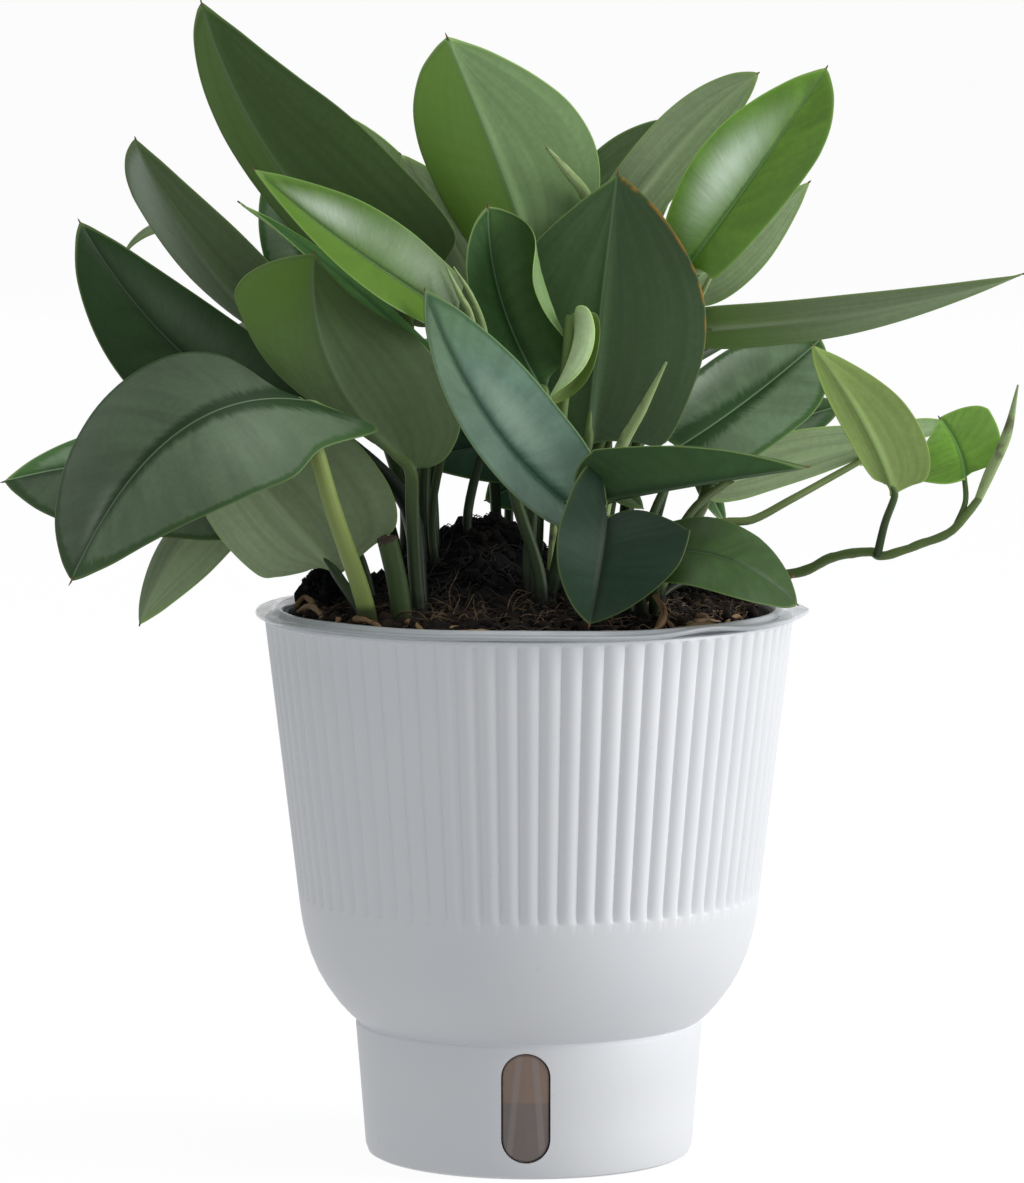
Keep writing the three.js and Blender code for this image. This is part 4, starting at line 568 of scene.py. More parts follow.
def pane_material():
    """Smoky window: brown above a level line and greyer below it, with two pale inner ribs."""
    paint = Paint("pane_smoke", Roughness=0.14, Coat_Weight=0.4, Coat_Roughness=0.06)
    x, _, z = paint.split(paint.place())
    wave = paint.grain(160, 2)
    # Brown above the line, greyer below it
    dry = paint.mix(wave, (126, 100, 82), (138, 112, 94))
    below_line = paint.mix(wave, (102, 88, 82), (114, 100, 94))
    shade = paint.mix(paint.step(PANE_TINT_LINE * MM + 0.0006, PANE_TINT_LINE * MM - 0.0006, z), dry, below_line)
    for foot, lean, width in PANE_RIBS:
        off = paint.math("ABSOLUTE", paint.minus(x, paint.plus(paint.times(z, lean), foot * MM)))
        rib = paint.minus(1, paint.step(width * 0.6 * MM, width * 1.3 * MM, off))
        shade = paint.mix(rib, shade, (146, 136, 134), 0.4)
    paint.set(Base_Color=shade)
    return paint.material


def clear_material():
    """Thin clear plastic, faintly blue and milky with scuffs."""
    paint = Paint("liner_clear_plastic", IOR=1.46, Alpha=0.55)
    scuff = paint.grain(260, 4, 0.7)
    paint.set(Base_Color=paint.mix(paint.grain(60, 2), (222, 228, 233), (236, 240, 244)))
    paint.set(Roughness=paint.plus(0.08, paint.times(paint.step(0.45, 0.8, scuff), 0.3)))
    paint.bump(scuff, 0.15, 0.0003)
    return paint.material


def peat_material(name, first, second, third):
    """Crumbly peat: near-black to brown grains with a rough relief, and painted shade where it is heaped up under
    the crowns.
    """
    paint = Paint(name, Roughness=0.95, Specular_IOR_Level=0.2)
    grain = paint.grain(700, 4, 0.7)
    shade = paint.mix(paint.step(0.35, 0.7, grain), first, second)
    shade = paint.mix(paint.step(0.5, 0.7, paint.grain(120, 3)), shade, third, 0.5)
    shade = paint.mix(paint.attribute("vein")[2], shade, third, 0.6)
    # Painted shade on the heaped peat under the crowns
    height = paint.split(paint.place())[2]
    shade = paint.mix(paint.step(PEAT_SHADE_FROM * MM, PEAT_SHADE_FULL * MM, height), shade, (11, 13, 15), 0.75)
    paint.set(Base_Color=shade)
    paint.bump(grain, 0.6, 0.0008)
    return paint.material


def fibre_material(name, first, second, knot=(70, 50, 34)):
    """Roots, bark and fibres: streaked along their length."""
    paint = Paint(name, Roughness=0.75)
    along, around, lot = paint.attribute("vein")
    streak = paint.streaks(along, 4, around, 8, lot, 3)
    shade = paint.mix(streak, first, second)
    paint.set(Base_Color=paint.mix(paint.step(0.5, 0.75, paint.grain(220, 3)), shade, knot, 0.7))
    paint.bump(streak, 0.5, 0.0005)
    return paint.material


# Meshes

class Shape:
    """Parts gathered into one mesh: points in millimetres, faces, and values that the materials read."""

    def __init__(self):
        self.points, self.faces, self.looks = [], [], []
        self.values = {"vein": [], "reach": [], "mood": []}
        self.materials = []
        self.count = 0

    def add(self, points, faces, looks, **values):
        """looks names one material for all the faces, or one for each."""
        points = np.asarray(points, float).reshape(-1, 3)
        names = [looks] * len(faces) if isinstance(looks, str) else looks
        for name in dict.fromkeys(names):
            if name not in self.materials:
                self.materials.append(name)
        self.points.append(points)
        self.faces += [[i + self.count for i in face] for face in faces]
        self.looks += [self.materials.index(name) for name in names]
        for name, rows in self.values.items():
            given = np.asarray(values.get(name, (0, 0, 0)), float)
            rows.append(np.broadcast_to(given.reshape(-1, 3), points.shape))
        self.count += len(points)

    def piece(self, name, node, slot, materials, sharp=50):
        mesh = bpy.data.meshes.new(name)
        mesh.from_pydata((np.vstack(self.points) * MM).tolist(), [], self.faces)
        for key, rows in self.values.items():
            layer = mesh.attributes.new(key, "FLOAT_VECTOR", "POINT")
            layer.data.foreach_set("vector", np.vstack(rows).astype(np.float32).ravel())
        for key in self.materials:
            mesh.materials.append(materials[key])
        mesh.polygons.foreach_set("material_index", self.looks)
        mesh.polygons.foreach_set("use_smooth", [True] * len(self.faces))
        mesh.set_sharp_from_angle(angle=math.radians(sharp))
        mesh.update()
        piece = link(name, mesh)
        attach(piece, "root")
        if node:
            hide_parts(node)
        return piece


def link(name, data):
    """A new object in the scene for a mesh, a light or a camera."""
    obj = bpy.data.objects.new(name, data)
    bpy.context.scene.collection.objects.link(obj)
    return obj


def one_surface(points, faces, look, name, node, slot, materials, sharp=50):
    shape = Shape()
    shape.add(points, faces, look)
    return shape.piece(name, node, slot, materials, sharp)


def grid_faces(rows, columns, closed=False, flip=False):
    """Four-sided faces of a grid of points, numbered row by row, closed into a ring along its columns if asked."""
    faces = []
    wide = columns if closed else columns - 1
    for i in range(rows - 1):
        for j in range(wide):
            k = (j + 1) % columns
            face = [i * columns + j, i * columns + k, (i + 1) * columns + k, (i + 1) * columns + j]
            faces.append(face[::-1] if flip else face)
    return faces


def tidy_faces(faces, same):
    """Faces with the points that fall together counted once."""
    kept = []
    for face in faces:
        face = list(dict.fromkeys(same[i] for i in face))
        if len(face) > 2:
            kept.append(face)
    return kept


def tube(path, radii, sides=STALK_SIDES, steps=None, seam=0.0):
    """Round closed tube along a smooth path. With a seam, its section winds in, as in a furled leaf."""
    steps = steps or 6 * (len(path) - 1)
    x = np.linspace(0, 1, steps + 1)
    centre = spline(path, x)
    ahead = unit(np.gradient(centre, axis=0))
    radius = np.interp(x, np.linspace(0, 1, len(radii)), radii)
    side = unit(np.cross(ahead[0], (0.3, 1, 0.1)))
    points, values = [], []
    for i in range(steps + 1):
        side = unit(side - ahead[i] * side.dot(ahead[i]))
        up = np.cross(ahead[i], side)
        for k in range(sides):
            turn = 2 * math.pi * k / sides
            reach = radius[i] * (1 - seam * k / sides)
            points.append(centre[i] + reach * (math.cos(turn) * side + math.sin(turn) * up))
            values.append((x[i], abs(2 * k / sides - 1), 0))
    faces = grid_faces(steps + 1, sides, closed=True)
    points += [centre[0], centre[-1]]
    values += [(0, 0, 0), (1, 0, 0)]
    first, last = len(points) - 2, len(points) - 1
    top = steps * sides
    faces += [[first, (k + 1) % sides, k] for k in range(sides)]
    faces += [[last, top + k, top + (k + 1) % sides] for k in range(sides)]
    return np.array(points), faces, np.array(values)


def ring_surface(profile, columns, reach=None, lift=None):
    """Surface turned round the axis. reach and lift change a point's radius and height by its angle."""
    angles = np.arange(columns) * 2 * math.pi / columns
    rows = []
    for radius, z in profile:
        r = np.full(columns, float(radius)) if reach is None else reach(radius, z, angles)
        h = np.full(columns, float(z)) if lift is None else lift(radius, z, angles)
        rows.append(np.stack([r * np.cos(angles), r * np.sin(angles), h], -1))
    points = np.concatenate(rows)
    same = np.arange(len(points))
    for i, (radius, _) in enumerate(profile):
        if radius == 0:
            same[i * columns:(i + 1) * columns] = i * columns
    return points, tidy_faces(grid_faces(len(profile), columns, closed=True), same)


# Pot and what stands in it

def rib_reach(radius, z, angles):
    """Crests keep the wall's radius, and the valleys between them end in rounded tips near the shoulder."""
    if radius < POT_OUTSIDE[-1][0] - 0.01 or z < RIB_BOTTOM or z > RIB_TOP:
        return np.full(len(angles), float(radius))
    run = np.clip((z - RIB_BOTTOM) / RIB_RUN_IN, 0, 1)
    depth = RIB_DEPTH * math.sqrt(1 - (1 - run) ** 2)
    valley = 1 - np.abs(np.sin(angles * RIB_COUNT / 2)) ** 0.75
    return radius - depth * valley


def capsule_cutter():
    """Upright slot with round ends, as a closed solid through the foot's front wall."""
    radius = WINDOW_WIDTH / 2
    outline = []
    half = 24
    for k in range(2 * half + 1):
        turn = math.pi * k / half
        middle = WINDOW_TOP - radius if k <= half else WINDOW_BOTTOM + radius
        outline.append((WINDOW_X + radius * math.cos(turn), middle + radius * math.sin(turn)))
        if k == half:
            outline.append((WINDOW_X - radius, WINDOW_BOTTOM + radius))
    outline = outline[:-1] + [(WINDOW_X + radius, WINDOW_BOTTOM + radius)]
    count = len(outline)
    points = [(x, y, z) for y in (-60, -30) for x, z in outline]
    faces = [[k, count + k, count + (k + 1) % count, (k + 1) % count] for k in range(count)]
    faces += [list(range(count)), list(range(count, 2 * count))[::-1]]
    mesh = bpy.data.meshes.new("slot_cutter")
    mesh.from_pydata((np.array(points) * MM).tolist(), [], faces)
    return link("slot_cutter", mesh)


def white_pot(materials):
    """The ribbed pot, inside and out, with the slot for the pane cut through its foot."""
    radii = np.interp(POT_DRUM_LEVELS, (RIB_BOTTOM, POT_HEIGHT), (POT_OUTSIDE[-1][0], POT_RIM_RADIUS))
    profile = POT_OUTSIDE + list(zip(radii, POT_DRUM_LEVELS)) + POT_INSIDE
    points, faces = ring_surface(profile, RIB_COUNT * COLUMNS_PER_RIB, reach=rib_reach)
    obj = one_surface(points, faces, "pot", "pot_white", "outer_pot", "white_pot", materials, POT_SHARP)
    cutter = capsule_cutter()
    cut = obj.modifiers.new("slot", "BOOLEAN")
    cut.operation = "DIFFERENCE"
    cut.solver = "EXACT"
    cut.object = cutter
    graph = bpy.context.evaluated_depsgraph_get()
    mesh = bpy.data.meshes.new_from_object(obj.evaluated_get(graph))
    obj.modifiers.clear()
    obj.data = mesh
    mesh.set_sharp_from_angle(angle=math.radians(POT_SHARP))
    bpy.data.objects.remove(cutter)
    return obj


def sight_pane(materials):
    """Curved pane in the slot, a hair inside the foot's surface, with a rounded front edge."""
    rows = []
    half = WINDOW_WIDTH / 2
    levels = ((-1.7, 0.35), (-0.5, 0.35), (-0.25, 0.45), (-0.1, 0.8), (0, 1.4), (0, 4), (0, half - 0.02))
    count = 96
    for depth, inset in levels:
        for k in range(count):
            turn = 2 * math.pi * (k + 0.5) / count
            middle = WINDOW_TOP - half if math.sin(turn) > 0 else WINDOW_BOTTOM + half
            x = WINDOW_X + (half - inset) * math.cos(turn)
            z = middle + (half - inset) * math.sin(turn)
            wall = FOOT_RADIUS + (z - FOOT_LEVEL) * FOOT_SLOPE - PANE_RECESS + depth
            rows.append((x, -math.sqrt(wall**2 - x**2), z))
    faces = grid_faces(len(levels), count, closed=True, flip=True)
    top = (len(levels) - 1) * count
    for k in range(count // 2 - 1):
        faces.append([top + k, top + k + 1, top + count - 2 - k, top + count - 1 - k])
    for k in range(count // 2 - 1):
        faces.append([k, count - 1 - k, count - 2 - k, k + 1])
    one_surface(rows, faces, "pane", "sight_pane", "window_pane", "smoked_pane", materials)


def flange_lift(radius, z, angles):
    """The loose flange waves a little and stands up from the pot at one place."""
    wave = 0.25 * np.sin(3 * angles + 0.6) + 0.15 * np.sin(7 * angles)
    off = (np.degrees(angles) - LIFT_ANGLE + 180) % 360 - 180
    raised = LIFT_HEIGHT * np.exp(-(off / LIFT_SPREAD) ** 2)
    share = 1.0 if z > FLANGE_LOW - 1 else 0.0
    return z + share * (np.maximum(wave, -0.25) + 0.25 + raised * smooth(73, 79, radius))


def flange_reach(radius, z, angles):
    """The flange's edge draws out into a small pointed tab on the right."""
    off = np.degrees((angles + math.pi) % (2 * math.pi) - math.pi)
    tab = TAB_REACH * np.maximum(0, 1 - np.abs(off) / 14) ** 1.3
    return radius + tab * smooth(76, 80, radius)


def clear_liner(materials):
    """The clear liner that hangs in the pot by its flange."""
    profile = [
        (0, 52), (53, 52), (54.2, 52.4), (56, 56), (60, 76.8), (70, 130), (73.8, 150), (73.8, 159.4), (74.2, 160.2),
        (75, FLANGE_LOW), (79.9, FLANGE_LOW), (80.5, 160.6), (80.7, 161.1), (80.6, 161.5), (80.1, 161.7),
        (76.6, 161.6), (75.9, 161.7), (75.4, 162.1), (75, 162.5), (74.4, FLANGE_TOP), (73.5, FLANGE_TOP),
        (72.9, 162.4), (72.6, 161.8), (72.6, 150), (68.8, 130), (58.8, 77), (54.8, 56.4), (53, 53.2), (0, 53.2),
    ]
    points, faces = ring_surface(profile, 240, reach=flange_reach, lift=flange_lift)
    one_surface(points, faces, "clear", "liner_clear", "clear_liner", "clear_plastic", materials, 60)


def nursery_pot(materials):
    """The black pot that holds the peat, of which the rim shows."""
    rim = GROW_RIM_RADIUS
    profile = [
        (0, 53.5), (51.5, 53.5), (53.4, 55.5), (70.9, 154.5), (rim, 155), (rim, 161), (rim - 0.2, 161.4),
        (rim - 0.6, GROW_RIM_TOP), (rim - 1, 161.4), (rim - 1.3, 161), (69.7, 154), (52.2, 56.4), (51.2, 54.7),
        (0, 54.7),
    ]
    points, faces = ring_surface(profile, 180)
    one_surface(points, faces, "black", "nursery_pot", "grow_pot", "black_plastic", materials, 40)


def soil_height(x, y):
    """Height of the peat: a low dome with swells where shoots stand."""
    height = SOIL_EDGE + SOIL_DOME * (1 - (x**2 + y**2) / SOIL_RADIUS**2)
    for sx, sy, rise, width in SOIL_SWELLS:
        height = height + rise * np.exp(-((x - sx) ** 2 + (y - sy) ** 2) / width**2)
    return height


class Rough:
    """Repeatable bumpy field: a sum of waves in seeded directions, from coarse to fine."""

    def __init__(self, seed, longest, shortest, count=24):
        draw = np.random.default_rng(seed)
        length = np.geomspace(longest, shortest, count)
        self.way = unit(draw.normal(size=(count, 3))) * (2 * math.pi / length)[:, None]
        self.phase = draw.uniform(0, 2 * math.pi, count)
        self.size = (length / longest) ** 0.8 / math.sqrt(count) * 2

    def __call__(self, points):
        return (np.sin(np.asarray(points) @ self.way.T + self.phase) * self.size).sum(-1)


def soil_bed(materials):
    """Peat surface with lumps, closed below to the pot's floor."""
    rough = Rough(5, 14, 1.6, 30)
    rings, columns = 70, 300
    angles = np.arange(columns) * 2 * math.pi / columns
    rows = []
    for i in range(rings + 1):
        r = SOIL_RADIUS * (i / rings) ** 0.8
        x, y = r * np.cos(angles), r * np.sin(angles)
        z = soil_height(x, y)
        z = z + 1.6 * rough(np.stack([x, y, z], -1)) * smooth(SOIL_RADIUS + 0.1, SOIL_RADIUS - 4, r)
        rows.append(np.stack([x, y, z], -1))
    for r, z in ((SOIL_RADIUS, 152), (51.7, 57), (50.7, 55), (0, 55)):
        rows.append(np.stack([r * np.cos(angles), r * np.sin(angles), np.full(columns, float(z))], -1))
    points = np.concatenate(rows)
    same = np.arange(len(points))
    same[:columns] = 0
    same[-columns:] = len(points) - columns
    shape = Shape()
    shape.add(points, tidy_faces(grid_faces(len(rows), columns, closed=True, flip=True), same), "peat")
    ball, ball_faces = sphere(40, 60)
    dent = Rough(8, 7, 0.9, 36)
    ball = ball * (0.9 + 0.24 * dent(ball * PLUG_RADIUS)[:, None]) * PLUG_RADIUS * (1, 1, PLUG_STRETCH)
    shape.add(ball + PLUG_PLACE, ball_faces, "loam")
    shape.piece("soil_bed", "soil", "peat", materials, sharp=180)


def sphere(rows, columns):
    """Ball of radius 1 with one point at each pole."""
    up = np.linspace(0, math.pi, rows + 1)[:, None]
    round_ = (np.arange(columns) * 2 * math.pi / columns)[None, :]
    points = np.stack([np.sin(up) * np.cos(round_), np.sin(up) * np.sin(round_), -np.cos(up) + 0 * round_], -1)
    points = points.reshape(-1, 3)
    same = np.arange(len(points))
    same[:columns] = 0
    same[-columns:] = len(points) - columns
    return points, tidy_faces(grid_faces(rows + 1, columns, closed=True), same)


def crumbs(materials):
    """Loose grains and clods all over the peat, of every size up to a few millimetres."""
    draw = np.random.default_rng(11)
    ball, faces = sphere(4, 6)
    shape = Shape()
    for _ in range(CRUMB_COUNT):
        x, y = scatter(draw, 1.5)
        size = 0.35 + 2.0 * draw.uniform() ** 3.2
        grain = clod(draw, ball, size)
        lift = soil_height(x, y) + draw.uniform(0.0, 1.0) + size * 0.3
        shape.add(grain + (x, y, lift), faces, "peat", vein=(0, 0, draw.uniform() ** 3))
    for _ in range(PLUG_CRUMB_COUNT):
        z, turn = draw.uniform(-0.4, 1), draw.uniform(0, 2 * math.pi)
        flat = math.sqrt(1 - z * z)
        way = np.array([flat * math.cos(turn), flat * math.sin(turn), z * PLUG_STRETCH]) * (PLUG_RADIUS + 0.3)
        grain = clod(draw, ball, draw.uniform(0.3, 1.1))
        shape.add(grain + way + PLUG_PLACE, faces, "loam", vein=(0, 0, draw.uniform() ** 4))
    shape.piece("soil_crumbs", None, "peat", materials, sharp=180)


def scatter(draw, inset):
    """A random place on the peat, as x and y, at least inset from its edge."""
    r = (SOIL_RADIUS - inset) * math.sqrt(draw.uniform())
    turn = draw.uniform(0, 2 * math.pi)
    return r * math.cos(turn), r * math.sin(turn)


def clod(draw, ball, size):
    """A rough lump of the given size, turned at random."""
    lump = ball * draw.uniform(0.6, 1.3, 3) * (1 + draw.uniform(-0.28, 0.28, len(ball)))[:, None] * size
    basis, _ = np.linalg.qr(draw.normal(size=(3, 3)))
    return lump @ basis


def fibres(materials):
    """Thin brown root hairs and straw that stick out of the peat in tufts; those high on the heap are near black,
    as painted shade.
    """
    draw = np.random.default_rng(23)
    shape = Shape()
    for _ in range(FIBRE_COUNT):
        x, y = scatter(draw, 3)
        path = wander(draw, x, y, draw.uniform(5, 15), 2.2)
        # A fibre that starts high on the heap takes the near-black copy of the hair colour: painted shade
        dark = path[0][2] > SHADED_FIBRES_FROM
        put_fibre(shape, draw, path, np.multiply((1, 0.9, 0.4), draw.uniform(0.1, 0.24)), 10, 0.35, dark)
    for x, y, count, spread, height in TUFTS:
        for _ in range(count):
            turn, lean = draw.uniform(0, 2 * math.pi), draw.uniform(0.2, 1.0)
            foot = np.array([x + draw.normal() * 1.5, y + draw.normal() * 1.5, soil_height(x, y) - 0.5])
            way = np.array([math.cos(turn) * lean, math.sin(turn) * lean, 1 - 0.4 * lean])
            length = height * draw.uniform(0.5, 1.1)
            path = [foot]
            for k in range(4):
                way = unit(way + draw.normal(size=3) * 0.45 - (0, 0, 0.18 * k))
                path.append(path[-1] + way * length / 4 * (1 + spread))
            put_fibre(shape, draw, path, np.multiply((1, 0.8, 0.3), draw.uniform(0.11, 0.22)), 12, 0.6)
    shape.piece("soil_fibres", None, "peat", materials, sharp=180)


def put_fibre(shape, draw, path, radii, steps, straw_share, dark=False):
    points, faces, values = tube(path, radii, sides=4, steps=steps)
    values[:, 2] = draw.uniform(0, 9)
    look = "straw" if draw.uniform() < straw_share else "hair"
    shape.add(points, faces, "soot" if dark else look, vein=values)


def wander(draw, x, y, length, rise):
    """Crooked line that lies on the peat and lifts off it here and there."""
    path = []
    way = draw.uniform(0, 2 * math.pi)
    for _ in range(5):
        r = math.hypot(x, y)
        if r > SOIL_RADIUS - 1.5:
            x, y = x * (SOIL_RADIUS - 1.5) / r, y * (SOIL_RADIUS - 1.5) / r
        path.append((x, y, soil_height(x, y) + 0.9 + draw.uniform(0, rise)))
        way += draw.normal() * 0.7
        x, y = x + math.cos(way) * length / 4, y + math.sin(way) * length / 4
    return path


def roots(materials):
    """The thicker tan roots and pieces of bark that show at the front."""
    draw = np.random.default_rng(31)
    shape = Shape()
    for look, thick, flat, path in ROOTS:
        line = [(x, y, soil_height(x, y) + lift) for x, y, lift in path]
        points, faces, values = tube(line, thick, sides=10, steps=8 * (len(line) - 1))
        knots = Rough(int(draw.integers(1000)), 9, 1.4, 16)
        centre = spline(line, values[:, 0])
        away = (points - centre) * (1, 1, flat)
        points = centre + away * (1 + 0.16 * knots(points))[:, None]
        values[:, 2] = draw.uniform(0, 9)
        shape.add(points, faces, look, vein=values)
    shape.piece("soil_roots", None, "peat", materials, sharp=180)


# Where tufts of fibre stand: x, y, number of fibres, spread and height
TUFTS = [
    (-24, -48, 26, 0.1, 12), (-15, -52, 22, 0.2, 9), (-20, -30, 20, 0.2, 12), (-34, -54, 10, 0.2, 8),
    (2, -50, 14, 0.2, 8), (-4, -36, 16, 0.2, 10), (44, -40, 14, 0.2, 7), (58, -20, 12, 0.2, 6),
    (-58, -20, 14, 0.2, 6), (-46, -54, 8, 0.2, 6), (20, 40, 16, 0.2, 8), (-30, 44, 16, 0.2, 8), (52, 30, 12, 0.2, 7),
]
# Roots and bark: look, radii, flatness, and points as x, y and height above the peat
ROOTS = [
    ("root", (0.7, 1.0, 0.9, 0.5), 1, [(-68, -8, 1), (-64, -14, 3), (-61, -22, 1.6), (-60, -30, 0.4)]),
    ("root", (0.7, 0.9, 0.7, 0.4), 1, [(-69, -2, 1.5), (-66, 0, 3.2), (-63, -8, 1.6), (-66, -18, 0.6)]),
    ("root", (0.9, 1.1, 0.8, 0.4), 1, [(-52, -36, 0.5), (-49, -44, 2.6), (-44, -50, 1.8), (-41, -55, 0.2)]),
    ("root", (0.8, 0.9, 0.7, 0.4), 1, [(-57, -30, 0.3), (-55, -38, 2), (-57, -42, 0.4)]),
    ("bark", (0.9, 1.9, 2.1, 1.2), 0.45, [(-22, -63, 0.8), (-17, -65.5, 1.4), (-12, -66, 1.2), (-8, -65.5, 0.4)]),
    ("bark", (0.6, 1.3, 1.2, 0.5), 0.5, [(-26, -60, 0.6), (-22, -59, 1.5), (-17, -60, 1.2)]),
    ("sliver", (0.5, 1.3, 1.2, 0.4), 0.4, [(-6, -64, 0.8), (-1, -66, 1.2), (5, -65, 0.8)]),
    ("bark", (0.4, 0.9, 0.8, 0.3), 0.5, [(-33, -60, 0.7), (-29, -61, 1.2), (-25, -62, 0.6)]),
    ("root", (0.8, 1.0, 1.1, 0.8, 0.5), 1,
     [(36, -46, 9), (38.5, -50, 6), (38, -54, 3), (36, -58, 1.2), (34, -62, 0.3)]),
    ("root", (0.5, 0.6, 0.4), 1, [(38.5, -52, 4), (41, -56, 2), (42, -59, 0.3)]),
    ("bark", (1.2, 2.2, 2.3, 1.3), 0.5, [(40, -57, 0.8), (46, -53, 1.6), (52, -48, 1.4), (56, -43, 0.5)]),
    ("bark", (0.7, 1.5, 1.4, 0.6), 0.5, [(44, -48, 1), (50, -44, 2.4), (55, -38, 1.4)]),
    ("bark", (0.5, 1.2, 1.3, 0.5), 0.5, [(30, -62, 0.8), (24, -64, 1.2), (18, -65, 0.7)]),
    ("knob", (0.6, 2.2, 2.4, 0.8), 0.9, [(48, -41, 1), (50, -41, 2.2), (52, -41, 1.6)]),
    ("root", (0.6, 0.7, 0.5), 1, [(57, -34, 0.5), (60, -28, 1.8), (62, -22, 0.4)]),
    ("root", (0.9, 1.1, 0.7), 1, [(-30, -58, 0.4), (-34, -54, 2.6), (-36, -48, 0.6)]),
    ("root", (0.8, 1, 0.6), 1, [(-6, 58, 0.4), (4, 60, 2.4), (14, 58, 0.4)]),
    ("bark", (0.6, 1.5, 1.4, 0.6), 0.5, [(-30, 56, 0.8), (-24, 59, 1.4), (-17, 61, 0.6)]),
    ("bark", (0.6, 1.6, 1.4, 0.6), 0.5, [(58, 22, 0.8), (55, 28, 1.4), (50, 34, 0.6)]),
]


# Foliage

# Usual values of what shapes a blade's margin
OUTLINE = {"lobe": 0.16, "belly": 0.38, "full": 0.6, "hook": 0}


def margin(lobe, belly, full, hook):
    """Margin of one half of a blade as (along, out) control points, from base to tip."""
    if lobe >= 0:
        back = [(0, 0), (-lobe * 0.75, 0.17), (-lobe, 0.42 - 0.12 * hook),
                (-lobe * (0.45 - 0.4 * hook), 0.75 - 0.13 * hook), (belly * 0.38, 0.95)]
    else:
        shift = max(belly * 0.6, -lobe * 1.9)
        back = [(0, 0), (-lobe * 0.7, 0.17), (-lobe, 0.42), (-lobe * 1.45, 0.72), (shift, 0.93)]
    rest = 1 - belly
    return back + [
        (belly, 1), (belly + rest * 0.3, 0.89 + 0.07 * full), (belly + rest * 0.56, 0.62 + 0.2 * full),
        (belly + rest * 0.8, 0.29 + 0.25 * full), (belly + rest * 0.94, 0.075 + 0.15 * full), (1, 0),
    ]


def midrib(leaf, t):
    """Points on the parabola through base, middle and tip, straight on past its ends."""
    a, b, c = (np.array(leaf[key], float) for key in ("base", "mid", "tip"))
    k = np.clip(t, 0, 1)[..., None]
    over = np.minimum(t, 0)[..., None]
    past = np.maximum(t - 1, 0)[..., None]
    point = a * (1 - k) * (1 - 2 * k) + b * 4 * k * (1 - k) + c * k * (2 * k - 1)
    return point + over * (4 * b - 3 * a - c) + past * (a - 4 * b + 3 * c)


def blade_frames(leaf):
    """Directions at stations along the midrib: ahead, out of the upper side, and to the side."""
    a, b, c = (np.array(leaf[key], float) for key in ("base", "mid", "tip"))
    k = np.linspace(0, 1, BLADE_STATIONS + 1)[:, None]
    ahead = unit(a * (4 * k - 3) + b * (4 - 8 * k) + c * (4 * k - 1))
    out = np.zeros_like(ahead)
    face = np.array(leaf["face"], float)
    out[MIDDLE_STATION] = unit(face - ahead[MIDDLE_STATION] * face.dot(ahead[MIDDLE_STATION]))
    for i in range(MIDDLE_STATION + 1, BLADE_STATIONS + 1):
        out[i] = unit(out[i - 1] - ahead[i] * out[i - 1].dot(ahead[i]))
    for i in range(MIDDLE_STATION - 1, -1, -1):
        out[i] = unit(out[i + 1] - ahead[i] * out[i + 1].dot(ahead[i]))
    return ahead, out, np.cross(ahead, out)


def between(directions, t):
    """The directions at each t from 0 to 1, between their stations."""
    place = np.clip(t, 0, 1) * BLADE_STATIONS
    i = np.minimum(place.astype(int), BLADE_STATIONS - 1)
    f = (place - i)[..., None]
    return unit(directions[i] * (1 - f) + directions[i + 1] * f)


